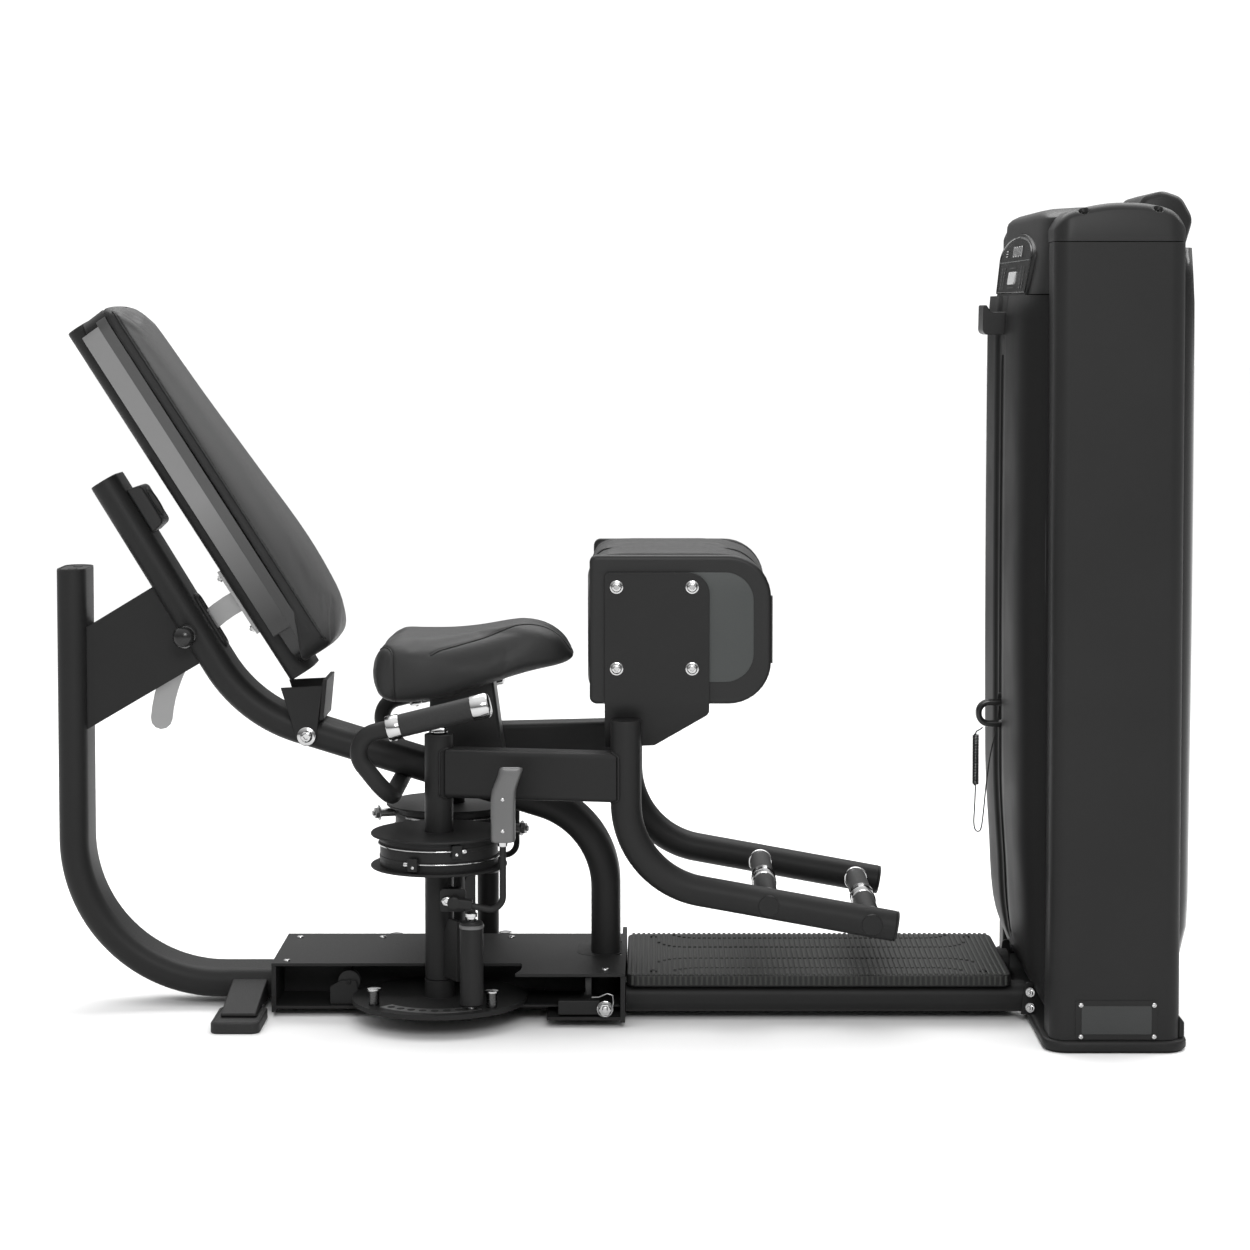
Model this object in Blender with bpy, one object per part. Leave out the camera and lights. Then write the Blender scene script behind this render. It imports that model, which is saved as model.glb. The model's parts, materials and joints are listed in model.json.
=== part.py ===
"""Seated hip trainer with a weight-stack tower, as separate pieces in metres.

+X points from the seat to the tower, +Z is up and the user's right is -Y. The plane y = 0 is
the plane of symmetry, and the origin is on the floor under the middle of the machine.
"""

import math

import bmesh
import bpy
from mathutils import Matrix, Vector

GAP = 0.0003  # left between pieces that touch
SIDE = Vector((0, 1, 0))

# Rear frame and seat frame, both bent from one flat-oval tube
TUBE_THICK, TUBE_WIDE = 0.051, 0.110
REAR_X, REAR_TOP, REAR_BEND = -0.938, 0.755, 0.25
BEAM_Z = 0.040
SEAT_TOP = Vector((-0.882, 0, 0.905))
SEAT_BEND = Vector((-0.640, 0, 0.507))
SEAT_KNEE = Vector((-0.024, 0, 0.317))

# Base
HUB_REAR, HUB_FRONT, HUB_TOP, HUB_LOW = -0.589, 0.011, 0.092, 0.014
SHEET = 0.005
HUB_HALF = 0.122
PLATFORM_FRONT, PLATFORM_HALF, PLATFORM_TOP = 0.660, 0.169, 0.084

# Swinging arms, described for the right-hand side and mirrored
COLUMN_X, COLUMN_Y = -0.302, -0.15
COLUMN_R, SPINDLE_R, COLUMN_TOP = 0.024, 0.015, 0.487
DISC_R, DISC_LOW, DISC_TOP, COLLAR_TOP = 0.147, 0.0355, 0.0435, 0.073
DRUM_R, FLANGE_R, DRUM_LOW, DRUM_TOP = 0.099, 0.1145, 0.265, 0.323
ARM_LOW, ARM_TOP, ARM_THICK = 0.382, 0.464, 0.050
POST_X, POST_Y, BAR_R = 0.0127, -0.205, 0.0255
PEG_XS, PEG_R, PEG_END = (0.2493, 0.4205), 0.017, -0.006
HOUSING = Vector((-0.242, -0.248, 0))
HOUSING_R, PLUNGER_R = 0.0195, 0.006
LEVER_PIVOT = Vector((-0.271, -0.248, 0.221))

# Thigh pads
PAD_REAR, PAD_FRONT, PAD_LOW, PAD_HIGH = -0.048, 0.254, 0.542, 0.790
PAD_OUTER, PAD_INNER, SHELL_DEEP = -0.190, -0.007, 0.022

# Backrest: s runs down the tube's rear face from its top, t towards the user
BACK_TOP = Vector((-0.940, 0, 1.155))
BACK_DOWN = Vector((0.5355, 0, -0.8445)).normalized()
BACK_OUT = Vector((0.8445, 0, 0.5355)).normalized()
BACK_LONG, BACK_PAD_LONG, BACK_HALF = 0.702, 0.688, 0.130
PIVOT = Vector((-0.534, 0, 0.470))
ARC_R, ARC_WIDE, ARC_THICK = 0.258, 0.037, 0.008

# Tower
TOWER_REAR, TOWER_FRONT, TOWER_HALF, UPRIGHT_IN = 0.698, 0.909, 0.370, 0.290
BASE_TOP, UPRIGHT_TOP = 0.020, 1.306
SHROUD_HALF, SHROUD_EDGE, SHROUD_SKIN = 0.288, 0.713, 0.004
SLOT_HALF, SLOT_LOW, SLOT_HIGH = 0.013, 0.12, 1.12
STACK_X, STACK_LONG, STACK_HALF, ROD_Y, ROD_R = 0.800, 0.150, 0.170, 0.130, 0.0125
PIN_Z = 0.502
PULL_PIN_X, PULL_PIN_Z = -0.738, 0.643
WHEEL_X, WHEEL_Z, WHEEL_R = 0.849, 1.262, 0.046

PAINTS = {
    "powder_coat": ((0.030, 0.030, 0.032), 0.45, 0.3),
    "vinyl": ((0.020, 0.020, 0.021), 0.50, 0.0),
    "shell": ((0.085, 0.087, 0.090), 0.45, 0.0),
    "plastic": ((0.028, 0.028, 0.030), 0.40, 0.0),
    "rubber": ((0.015, 0.015, 0.016), 0.75, 0.0),
    "chrome": ((0.70, 0.70, 0.71), 0.15, 1.0),
    "steel": ((0.45, 0.45, 0.46), 0.35, 1.0),
    "silver_plastic": ((0.28, 0.29, 0.30), 0.35, 0.2),
}


# ---------------------------------------------------------------- helpers


def clear_scene():
    for obj in list(bpy.data.objects):
        bpy.data.objects.remove(obj, do_unlink=True)


def paint_of(kind, name):
    color, roughness, metallic = PAINTS[kind]
    paint = bpy.data.materials.new(f"{name}_{kind}")
    paint.use_nodes = True
    shader = paint.node_tree.nodes["Principled BSDF"]
    shader.inputs["Base Color"].default_value = (*color, 1)
    shader.inputs["Roughness"].default_value = roughness
    shader.inputs["Metallic"].default_value = metallic
    paint.diffuse_color = (*color, 1)
    return paint


def finished(name, shape, kind):
    """The bmesh as a named object in the scene, facing out and shaded smooth."""
    bmesh.ops.recalc_face_normals(shape, faces=shape.faces)
    mesh = bpy.data.meshes.new(name)
    shape.to_mesh(mesh)
    shape.free()
    mesh.shade_smooth()
    mesh.set_sharp_from_angle(angle=math.radians(35))
    mesh.materials.append(paint_of(kind, name))
    obj = bpy.data.objects.new(name, mesh)
    bpy.context.scene.collection.objects.link(obj)
    return obj


def applied(obj):
    """The object with its modifiers made part of its mesh."""
    bpy.context.view_layer.update()
    graph = bpy.context.evaluated_depsgraph_get()
    mesh = bpy.data.meshes.new_from_object(obj.evaluated_get(graph))
    obj.modifiers.clear()
    obj.data = mesh
    return obj


def combined(target, tools, operation):
    for tool in tools:
        step = target.modifiers.new(operation.lower(), "BOOLEAN")
        step.operation = operation
        step.object = tool
    applied(target)
    for tool in tools:
        bpy.data.objects.remove(tool, do_unlink=True)
    return target


def fused(target, *tools):
    return combined(target, tools, "UNION")


def carved(target, *tools):
    return combined(target, tools, "DIFFERENCE")


def bevelled(obj, width, segments=2):
    step = obj.modifiers.new("bevel", "BEVEL")
    step.width = width
    step.segments = segments
    step.limit_method = "ANGLE"
    step.angle_limit = math.radians(40)
    return applied(obj)


def lofted(name, rings, kind):
    """A solid through rings of equal length, closed by a flat cap at each end."""
    shape = bmesh.new()
    loops = [[shape.verts.new(point) for point in ring] for ring in rings]
    for low, high in zip(loops, loops[1:]):
        for i in range(len(low)):
            j = (i + 1) % len(low)
            shape.faces.new((low[i], low[j], high[j], high[i]))
    shape.faces.new(loops[0][::-1])
    shape.faces.new(loops[-1])
    return finished(name, shape, kind)


def arc_points(centre, start, end, steps):
    """Points on the circular arc about centre that turns the vector start into end."""
    angle = start.angle(end)
    return [
        centre
        + (start * math.sin(angle * (1 - k / steps)) + end * math.sin(angle * k / steps))
        / math.sin(angle)
        for k in range(steps + 1)
    ]


def bent(corners, radii, step=7.5):
    """The polyline with each inner corner rounded to its radius."""
    corners = [Vector(corner) for corner in corners]
    path = [corners[0]]
    for before, corner, after, radius in zip(corners, corners[1:], corners[2:], radii):
        back = (before - corner).normalized()
        ahead = (after - corner).normalized()
        half = back.angle(ahead) / 2
        reach = radius / math.tan(half)
        centre = corner + (back + ahead).normalized() * radius / math.sin(half)
        steps = max(2, round(math.degrees(math.pi - 2 * half) / step))
        start = corner + back * reach - centre
        end = corner + ahead * reach - centre
        path += arc_points(centre, start, end, steps)
    return path + [corners[-1]]


def rounded(points, radius, steps=3):
    """A closed 2D outline with its corners rounded; radius is one number or one for each."""
    count = len(points)
    radii = radius if isinstance(radius, (list, tuple)) else [radius] * count
    outline = []
    for i, size in enumerate(radii):
        around = [Vector((*points[(i + k) % count], 0)) for k in (-1, 0, 1)]
        if size == 0:
            outline.append(around[1])
            continue
        outline += bent(around, [size], step=90 / steps)[1:-1]
    return [(point.x, point.y) for point in outline]


def oval(thick, wide, radius, steps=4):
    half, reach = thick / 2, wide / 2
    corners = [(-half, -reach), (half, -reach), (half, reach), (-half, reach)]
    return rounded(corners, radius, steps)


def circle(radius, sides):
    turns = [2 * math.pi * k / sides for k in range(sides)]
    return [(radius * math.cos(turn), radius * math.sin(turn)) for turn in turns]


def swept(name, path, section, kind, side=SIDE):
    """The section carried along the path: its v axis starts along side and is kept level."""
    path = [Vector(point) for point in path]
    across = Vector(side)
    rings = []
    for i, point in enumerate(path):
        ahead = (path[min(i + 1, len(path) - 1)] - point).normalized()
        behind = (point - path[max(i - 1, 0)]).normalized()
        along = (ahead + behind).normalized()
        across = (across - along * across.dot(along)).normalized()
        outward = along.cross(across)
        rings.append([point + outward * u + across * v for u, v in section])
    return lofted(name, rings, kind)


def prism(name, outline, axis, low, high, kind):
    """The outline extruded along X, Y or Z; it lies in the other two axes, in that order."""
    order = {"X": (2, 0, 1), "Y": (0, 2, 1), "Z": (0, 1, 2)}[axis]
    rings = []
    for level in (low, high):
        rows = [(a, b, level) for a, b in outline]
        rings.append([tuple(row[k] for k in order) for row in rows])
    return lofted(name, rings, kind)


def box(name, low, high, kind, bevel=0.0, segments=2):
    outline = [(low[0], low[1]), (high[0], low[1]), (high[0], high[1]), (low[0], high[1])]
    obj = prism(name, outline, "Z", low[2], high[2], kind)
    return bevelled(obj, bevel, segments) if bevel else obj


def rod(name, start, end, radius, kind, sides=16):
    direction = Vector(end) - Vector(start)
    side = SIDE if abs(direction.normalized().y) < 0.9 else Vector((1, 0, 0))
    return swept(name, [start, end], circle(radius, sides), kind, side)


def turned(name, profile, centre, axis, kind, sides=24):
    """A solid of revolution: profile holds (radius, height) pairs, heights along the axis."""
    centre = Vector(centre)
    turn = Vector((0, 0, 1)).rotation_difference(Vector(axis)).to_matrix()
    rings = []
    for radius, height in profile:
        ring = [Vector((x, y, height)) for x, y in circle(radius, sides)]
        rings.append([centre + turn @ point for point in ring])
    return lofted(name, rings, kind)


def sleeve(name, profile, centre, axis, kind, sides=24):
    """A ring of revolution about the axis: profile is a closed outline clear of the axis."""
    centre = Vector(centre)
    turn = Vector((0, 0, 1)).rotation_difference(Vector(axis)).to_matrix()
    shape = bmesh.new()
    loops = []
    for x, y in circle(1.0, sides):
        ring = [Vector((r * x, r * y, height)) for r, height in profile]
        loops.append([shape.verts.new(centre + turn @ point) for point in ring])
    for i in range(sides):
        one, two = loops[i], loops[(i + 1) % sides]
        for j in range(len(profile)):
            k = (j + 1) % len(profile)
            shape.faces.new((one[j], two[j], two[k], one[k]))
    return finished(name, shape, kind)


def skin(name, us, vs, outer, inner, kind, is_open=lambda u, v: False):
    """A solid between two gridded surfaces; is_open(u, v) leaves out the cells of an opening."""
    shape = bmesh.new()
    tops = [[shape.verts.new(outer(u, v)) for v in vs] for u in us]
    lows = [[shape.verts.new(inner(u, v)) for v in vs] for u in us]
    rows, columns = len(us) - 1, len(vs) - 1

    def filled(i, j):
        if not (0 <= i < rows and 0 <= j < columns):
            return False
        return not is_open((us[i] + us[i + 1]) / 2, (vs[j] + vs[j + 1]) / 2)

    for i in range(rows):
        for j in range(columns):
            if not filled(i, j):
                continue
            corners = [(i, j), (i + 1, j), (i + 1, j + 1), (i, j + 1)]
            shape.faces.new([tops[a][b] for a, b in corners])
            shape.faces.new([lows[a][b] for a, b in corners[::-1]])
            for k, (di, dj) in enumerate(((0, -1), (1, 0), (0, 1), (-1, 0))):
                if filled(i + di, j + dj):
                    continue
                (a, b), (c, d) = corners[k], corners[(k + 1) % 4]
                shape.faces.new((tops[c][d], tops[a][b], lows[a][b], lows[c][d]))
    loose = [vert for vert in shape.verts if not vert.link_faces]
    bmesh.ops.delete(shape, geom=loose, context="VERTS")
    return finished(name, shape, kind)


def spaced(low, high, count):
    return [low + (high - low) * k / count for k in range(count + 1)]


def between(table, x):
    """Linear interpolation in a short list of (x, y) pairs."""
    for (x0, y0), (x1, y1) in zip(table, table[1:]):
        if x <= x1:
            return y0 + (y1 - y0) * max(0.0, (x - x0) / (x1 - x0))
    return table[-1][1]


def on_left(obj):
    """The left-hand twin of a right-hand piece."""
    mesh = obj.data.copy()
    mesh.transform(Matrix.Scale(-1, 4, SIDE))
    mesh.flip_normals()
    twin = bpy.data.objects.new(obj.name.replace("right", "left"), mesh)
    bpy.context.scene.collection.objects.link(twin)
    return twin


# ---------------------------------------------------------------- fixed frame


def seat_path(end_z):
    foot = Vector((SEAT_KNEE.x, 0, end_z))
    return bent([SEAT_TOP, SEAT_BEND, SEAT_KNEE, foot], [0.25, 0.153])


def recline_slot(name):
    """The curved space that the adjustment bar sweeps, used to cut the tubes it passes."""
    half = ARC_WIDE / 2 + 0.002
    turns = [math.radians(a) for a in spaced(100, 200, 20)]
    radii = (ARC_R - half, ARC_R + half)
    outline = [(r * math.cos(a), r * math.sin(a)) for r, way in zip(radii, (1, -1)) for a in turns[::way]]
    outline = [(PIVOT.x + x, PIVOT.z + z) for x, z in outline]
    return prism(name, outline, "Y", -0.006, 0.006, "steel")


def make_rear_frame():
    start = (REAR_X, 0, REAR_TOP)
    corner = (REAR_X, 0, BEAM_Z)
    end = (HUB_REAR - GAP, 0, BEAM_Z)
    section = oval(TUBE_THICK, TUBE_WIDE, 0.022, 5)
    tube = swept("rear_frame_tube", bent([start, corner, end], [REAR_BEND]), section, "powder_coat")
    legs = [
        (0.204, 0.0188),
        (0.204, 0.0235),
        (0.045, 0.0520),
        (-0.045, 0.0520),
        (-0.204, 0.0235),
        (-0.204, 0.0188),
        (-0.118, 0.0188),
        (-0.105, 0.0140),
        (0.105, 0.0140),
        (0.118, 0.0188),
    ]
    cross = bevelled(prism("legs", legs, "X", -0.664, -0.604, "powder_coat"), 0.002, 1)
    fused(tube, cross)
    outline = rounded([(-0.676, -0.245), (-0.594, -0.245), (-0.594, -0.122), (-0.676, -0.122)], 0.014, 4)
    pad = prism("rear_foot_pad_right", outline, "Z", 0.0, 0.0185, "rubber")
    on_left(bevelled(pad, 0.002, 1))


def make_seat_frame():
    section = oval(TUBE_THICK - 0.001, TUBE_WIDE, 0.022, 5)
    path = seat_path(HUB_LOW + SHEET + GAP)
    tube = swept("seat_frame_tube", path, section, "powder_coat")
    pivot_hole = rod("hole", PIVOT - SIDE * 0.1, PIVOT + SIDE * 0.1, 0.0083, "steel")
    pin_hole = rod("pin_hole", (-0.738, -0.1, 0.643), (-0.738, -0.001, 0.643), 0.0058, "steel", 12)
    carved(tube, recline_slot("slot"), pivot_hole, pin_hole)

    down = (SEAT_BEND - SEAT_TOP).normalized()
    face = down.cross(SIDE)
    front = SEAT_TOP + face * (TUBE_THICK / 2 + GAP)
    outline = rounded([(0.033, 0.0), (0.120, 0.0), (0.113, 0.0275), (0.040, 0.0275)], [0, 0, 0.008, 0.008], 3)
    rings = []
    for y in (-0.038, 0.038):
        rings.append([front + down * along + face * up + SIDE * y for along, up in outline])
    bevelled(lofted("recline_bumper", rings, "rubber"), 0.003, 1)

    back = SEAT_TOP - face * (TUBE_THICK / 2 + GAP)
    tall = REAR_X + TUBE_THICK / 2 + GAP
    high = back + down * 0.198
    low = back + down * 0.352
    outline = [(tall, 0.6524), (high.x, high.z), (low.x, low.z), (tall, 0.4736)]
    bracket = prism("seat_tube_bracket", outline, "Y", -0.035, 0.035, "powder_coat")
    carved(bevelled(bracket, 0.006, 2), recline_slot("slot"))


def make_base():
    floor = box(
        "hub_base_frame", (HUB_REAR, -HUB_HALF, HUB_LOW), (
            HUB_FRONT, HUB_HALF, HUB_LOW + SHEET
        ), "powder_coat"
    )
    under = HUB_TOP - SHEET - GAP
    rear = box(
        "rear", (HUB_REAR, -HUB_HALF, HUB_LOW - 0.006), (HUB_REAR + 0.008, HUB_HALF, under), "powder_coat"
    )
    front = box(
        "front", (HUB_FRONT - 0.008, -0.205, HUB_LOW - 0.004), (HUB_FRONT, 0.205, under), "powder_coat"
    )
    wing = box("wing", (-0.120, -0.205, HUB_LOW), (HUB_FRONT, 0.205, HUB_LOW + SHEET), "powder_coat")
    spine = box("spine", (-0.130, -0.010, HUB_LOW), (-0.060, 0.010, under), "powder_coat")
    web = box("web", (-0.585, -0.010, HUB_LOW), (-0.465, 0.010, under), "powder_coat")
    step = 0.055
    seats = [
        box(
            f"seat{y}",
            (COLUMN_X - step, y - step, HUB_LOW),
            (COLUMN_X + step, y + step, HUB_LOW + 0.006),
            "powder_coat",
        )
        for y in (COLUMN_Y, -COLUMN_Y)
    ]
    fused(floor, rear, front, wing, spine, web, *seats)

    notch = COLUMN_X + 0.118
    outline = [
        (HUB_REAR, HUB_HALF),
        (HUB_REAR, -HUB_HALF),
        (notch, -HUB_HALF),
        (notch + 0.012, -0.205),
        (HUB_FRONT, -0.205),
        (HUB_FRONT, HUB_HALF),
    ]
    plate = prism("hub_cover_plate", outline, "Z", HUB_TOP - SHEET, HUB_TOP, "powder_coat")
    half = TUBE_THICK / 2 + 0.001
    slot = box("slot", (SEAT_KNEE.x - half, -0.0565, 0.07), (SEAT_KNEE.x + half, 0.0565, 0.12), "steel")
    clear = rod("clear", (COLUMN_X, COLUMN_Y, 0.07), (COLUMN_X, COLUMN_Y, 0.12), 0.139, "steel", 40)
    keep = box("keep", (-0.6, -HUB_HALF + 0.0005, 0.05), (0.1, 0.3, 0.13), "steel")
    carved(clear, keep)
    carved(plate, slot, clear)

    low = HUB_LOW + SHEET + GAP + 0.001
    for name, y in (("pivot_spindle_right", COLUMN_Y), ("pivot_spindle_left", -COLUMN_Y)):
        profile = [
            (0.021, low),
            (0.021, DISC_LOW - 0.001),
            (SPINDLE_R, DISC_LOW - 0.0009),
            (SPINDLE_R, COLUMN_TOP + GAP),
            (0.021, COLUMN_TOP + 2 * GAP),
            (0.021, COLUMN_TOP + 0.003),
            (0.012, COLUMN_TOP + 0.007),
        ]
        turned(name, profile, (COLUMN_X, y, 0), (0, 0, 1), "chrome", 20)


def make_platform():
    rear = HUB_FRONT + 0.001
    front = TOWER_REAR - 0.013
    under = PLATFORM_TOP - 0.022
    rails = [
        box(
            f"rail{sign}",
            (rear, sign * 0.126 - 0.030, HUB_LOW),
            (front, sign * 0.126 + 0.030, under),
            "powder_coat",
            0.005,
        )
        for sign in (-1, 1)
    ]
    ties = [box(f"tie{x}", (x, -0.11, 0.020), (x + 0.03, 0.11, 0.050), "powder_coat") for x in (0.06, 0.62)]
    beam = fused(rails[0], rails[1], *ties)
    beam.name = "front_beam"
    corners = [
        (rear + 0.001, -PLATFORM_HALF),
        (PLATFORM_FRONT, -PLATFORM_HALF),
        (PLATFORM_FRONT, PLATFORM_HALF),
        (rear + 0.001, PLATFORM_HALF),
    ]
    outline = rounded(corners, 0.018, 4)
    top = prism("foot_platform", outline, "Z", under + GAP, PLATFORM_TOP, "plastic")
    bevelled(top, 0.003, 1)


def make_seat():
    down = (SEAT_KNEE - SEAT_BEND).normalized()
    lift = down.cross(SIDE)
    top = SEAT_BEND + lift * ((TUBE_THICK - 0.001) / 2 + GAP)
    rear = top + down * (0.305 / down.x)
    nose = top + down * (0.440 / down.x)
    outline = [(rear.x, rear.z), (nose.x, nose.z), (-0.215, 0.505), (-0.228, 0.528), (-0.330, 0.522)]
    bevelled(prism("seat_post", outline, "Y", -0.040, 0.040, "plastic"), 0.004, 1)

    ridge = [(-0.416, 0.600), (-0.405, 0.630), (-0.380, 0.641), (-0.300, 0.638), (-0.240, 0.644),
             (-0.190, 0.655), (-0.150, 0.658), (-0.115, 0.649), (-0.092, 0.630), (-0.080, 0.602)]
    belly = [(-0.416, 0.560), (-0.400, 0.532), (-0.300, 0.530), (-0.240, 0.541), (-0.190, 0.555),
             (-0.120, 0.577), (-0.080, 0.590)]
    width = [(-0.416, 0.100), (-0.395, 0.128), (-0.330, 0.140), (-0.250, 0.128), (-0.180, 0.100),
             (-0.110, 0.078), (-0.088, 0.060), (-0.080, 0.040)]

    def at(u, v, table, drop):
        edge = abs(v)
        middle = (between(ridge, u) + between(belly, u)) / 2
        height = between(table, u)
        return Vector((u, v * between(width, u), height + (middle - height) * drop * edge**6))

    us = [-0.416, -0.405, -0.385, -0.34, -0.30, -0.26, -0.22, -0.18, -0.145, -0.115, -0.095, -0.080]
    vs = [-1.0, -0.93, -0.75, -0.4, 0.0, 0.4, 0.75, 0.93, 1.0]
    skin(
        "seat_cushion",
        us,
        vs,
        lambda u, v: at(u, v, ridge, 0.75),
        lambda u, v: at(u, v, belly, 0.6),
        "vinyl",
    )


def make_handles():
    y, inner = 0.215, 0.014
    front = Vector((-0.227, -y, 0.544))
    rear = Vector((-0.379, -y, 0.507))
    corners = [front, Vector((-0.455, -y, 0.4885)), Vector((-0.374, -y, 0.350)), Vector((-0.374, y, 0.350))]
    corners += [Vector((-0.455, y, 0.4885)), Vector((front.x, y, front.z))]
    path = bent(corners, [0.035, 0.045, 0.045, 0.035], 18)
    swept("handle_bar", path, circle(inner, 12), "powder_coat")
    along = (front - rear).normalized()
    long = (front - rear).length
    bore = inner + GAP
    profile = [(bore, 0.0), (0.020, 0.0), (0.020, 0.026), (0.0175, 0.028), (0.0175, long - 0.026),
               (0.020, long - 0.024), (0.020, long - 0.001), (bore, long - 0.001)]
    on_left(sleeve("hand_grip_right", profile, rear, along, "rubber", 20))


# ---------------------------------------------------------------- swinging arms


def make_arm():
    centre = Vector((COLUMN_X, COLUMN_Y, 0))
    bore = SPINDLE_R + GAP
    profile = [
        (bore, COLLAR_TOP + 0.0005),
        (COLUMN_R, COLLAR_TOP + 0.0005),
        (COLUMN_R, COLUMN_TOP),
        (bore, COLUMN_TOP),
    ]
    column = sleeve("arm_frame_right", profile, centre, (0, 0, 1), "powder_coat", 24)

    post = Vector((POST_X, POST_Y, 0))
    toward = (post - centre).normalized()
    section = oval(ARM_TOP - ARM_LOW, ARM_THICK, 0.010, 3)
    height = Vector((0, 0, (ARM_LOW + ARM_TOP) / 2))
    across = Vector((0, 0, 1)).cross(toward)
    arm = swept("arm", [centre + toward * 0.018 + height, post + height], section, "powder_coat", across)

    end = Vector((0.4605, POST_Y, 0.1726))
    corners = [Vector((POST_X, POST_Y, 0.520)), Vector((POST_X, POST_Y, 0.254)), end]
    bar = swept("bar", bent(corners, [0.15]), circle(BAR_R, 18), "powder_coat")
    pegs = []
    for x, z in zip(PEG_XS, (0.2110, 0.1798)):
        pegs.append(rod(f"peg{x}", (x, POST_Y, z), (x, PEG_END, z), PEG_R, "rubber", 14))

    housing = turned(
        "housing",
        [(HOUSING_R, 0.050), (HOUSING_R, 0.188), (0.016, 0.190)],
        HOUSING,
        (0, 0, 1),
        "powder_coat",
        20,
    )
    outward = (HOUSING - centre).normalized()
    blade = [(-0.004, -0.053), (0.004, -0.053), (0.004, 0.053), (-0.004, 0.053)]
    middle = Vector((0, 0, 0.129))
    level = Vector((0, 0, 1)).cross(outward)
    web = swept("web", [centre + outward * 0.019 + middle, HOUSING - outward * 0.005 + middle],
                [(v, u) for u, v in blade], "powder_coat", level)
    ear = box("ear", (-0.285, -0.2375, 0.150), (-0.245, -0.2315, 0.234), "powder_coat")
    fused(column, arm, bar, *pegs, housing, web, ear)
    spindle = rod("bore", centre + Vector((0, 0, 0.05)), centre + Vector((0, 0, 0.50)), bore, "steel", 24)
    plunger = rod(
        "plunger_bore",
        HOUSING + Vector((0, 0, 0.04)),
        HOUSING + Vector((0, 0, 0.20)),
        PLUNGER_R + GAP,
        "steel",
        12,
    )
    carved(column, spindle, plunger)
    on_left(column)

    drum = [
        (COLUMN_R + GAP, DRUM_LOW),
        (FLANGE_R, DRUM_LOW),
        (FLANGE_R, DRUM_LOW + 0.004),
        (DRUM_R, DRUM_LOW + 0.004),
        (DRUM_R, DRUM_TOP - 0.004),
        (FLANGE_R, DRUM_TOP - 0.004),
        (FLANGE_R, DRUM_TOP),
        (COLUMN_R + GAP, DRUM_TOP),
    ]
    on_left(sleeve("sync_drum_right", drum, centre, (0, 0, 1), "powder_coat", 32))


def make_disc():
    centre = Vector((COLUMN_X, COLUMN_Y, 0))
    bore = SPINDLE_R + GAP
    profile = [
        (bore, DISC_LOW),
        (DISC_R, DISC_LOW),
        (DISC_R, DISC_TOP),
        (0.025, DISC_TOP),
        (0.025, COLLAR_TOP),
        (bore, COLLAR_TOP),
    ]
    disc = sleeve("selector_disc_right", profile, centre, (0, 0, 1), "powder_coat", 40)
    reach = (HOUSING - centre).length
    start = math.atan2(HOUSING.y - centre.y, HOUSING.x - centre.x)
    holes = []
    for k in range(8):
        turn = start - math.radians(10) * k
        spot = centre + Vector((math.cos(turn), math.sin(turn), 0)) * reach
        holes.append(
            rod(f"hole{k}", spot + Vector((0, 0, 0.03)), spot + Vector((0, 0, 0.05)), 0.0065, "steel", 8)
        )
    carved(disc, *holes)
    stops = []
    for k, (x, y) in enumerate(((-0.406, -0.219), (-0.210, -0.235))):
        stops.append(rod(f"stop{k}", (x, y, DISC_TOP - 0.002), (x, y, 0.070), 0.0075, "chrome", 12))
    on_left(fused(disc, *stops))


def make_start_lever():
    x, y, z = LEVER_PIVOT
    corners = [
        Vector((x - 0.006, y, z)),
        Vector((HOUSING.x + 0.002, y, 0.2150)),
        Vector((-0.190, y, 0.204)),
        Vector((-0.190, y, 0.330)),
    ]
    lever = swept("start_lever_right", bent(corners, [0.02, 0.022], 15), circle(0.005, 10), "silver_plastic")
    boss = rod("boss", (x, y - 0.009, z), (x, y + 0.009, z), 0.009, "steel", 14)
    outline = rounded([(-0.2030, 0.322), (-0.1790, 0.322), (-0.1745, 0.400), (-0.1680, 0.438), (-0.1860, 0.444),
                       (-0.2080, 0.436), (-0.2060, 0.400)], 0.004, 2)
    grip = bevelled(prism("grip", outline, "Y", y - 0.013, y + 0.013, "silver_plastic"), 0.003, 1)
    on_left(fused(lever, boss, grip))
    profile = [
        (PLUNGER_R, DISC_TOP + 0.001), (PLUNGER_R, 0.190), (0.010, 0.1905), (0.010, 0.2035), (0.008, 0.2055)
    ]
    on_left(turned("start_plunger_right", profile, HOUSING, (0, 0, 1), "chrome", 12))


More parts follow.
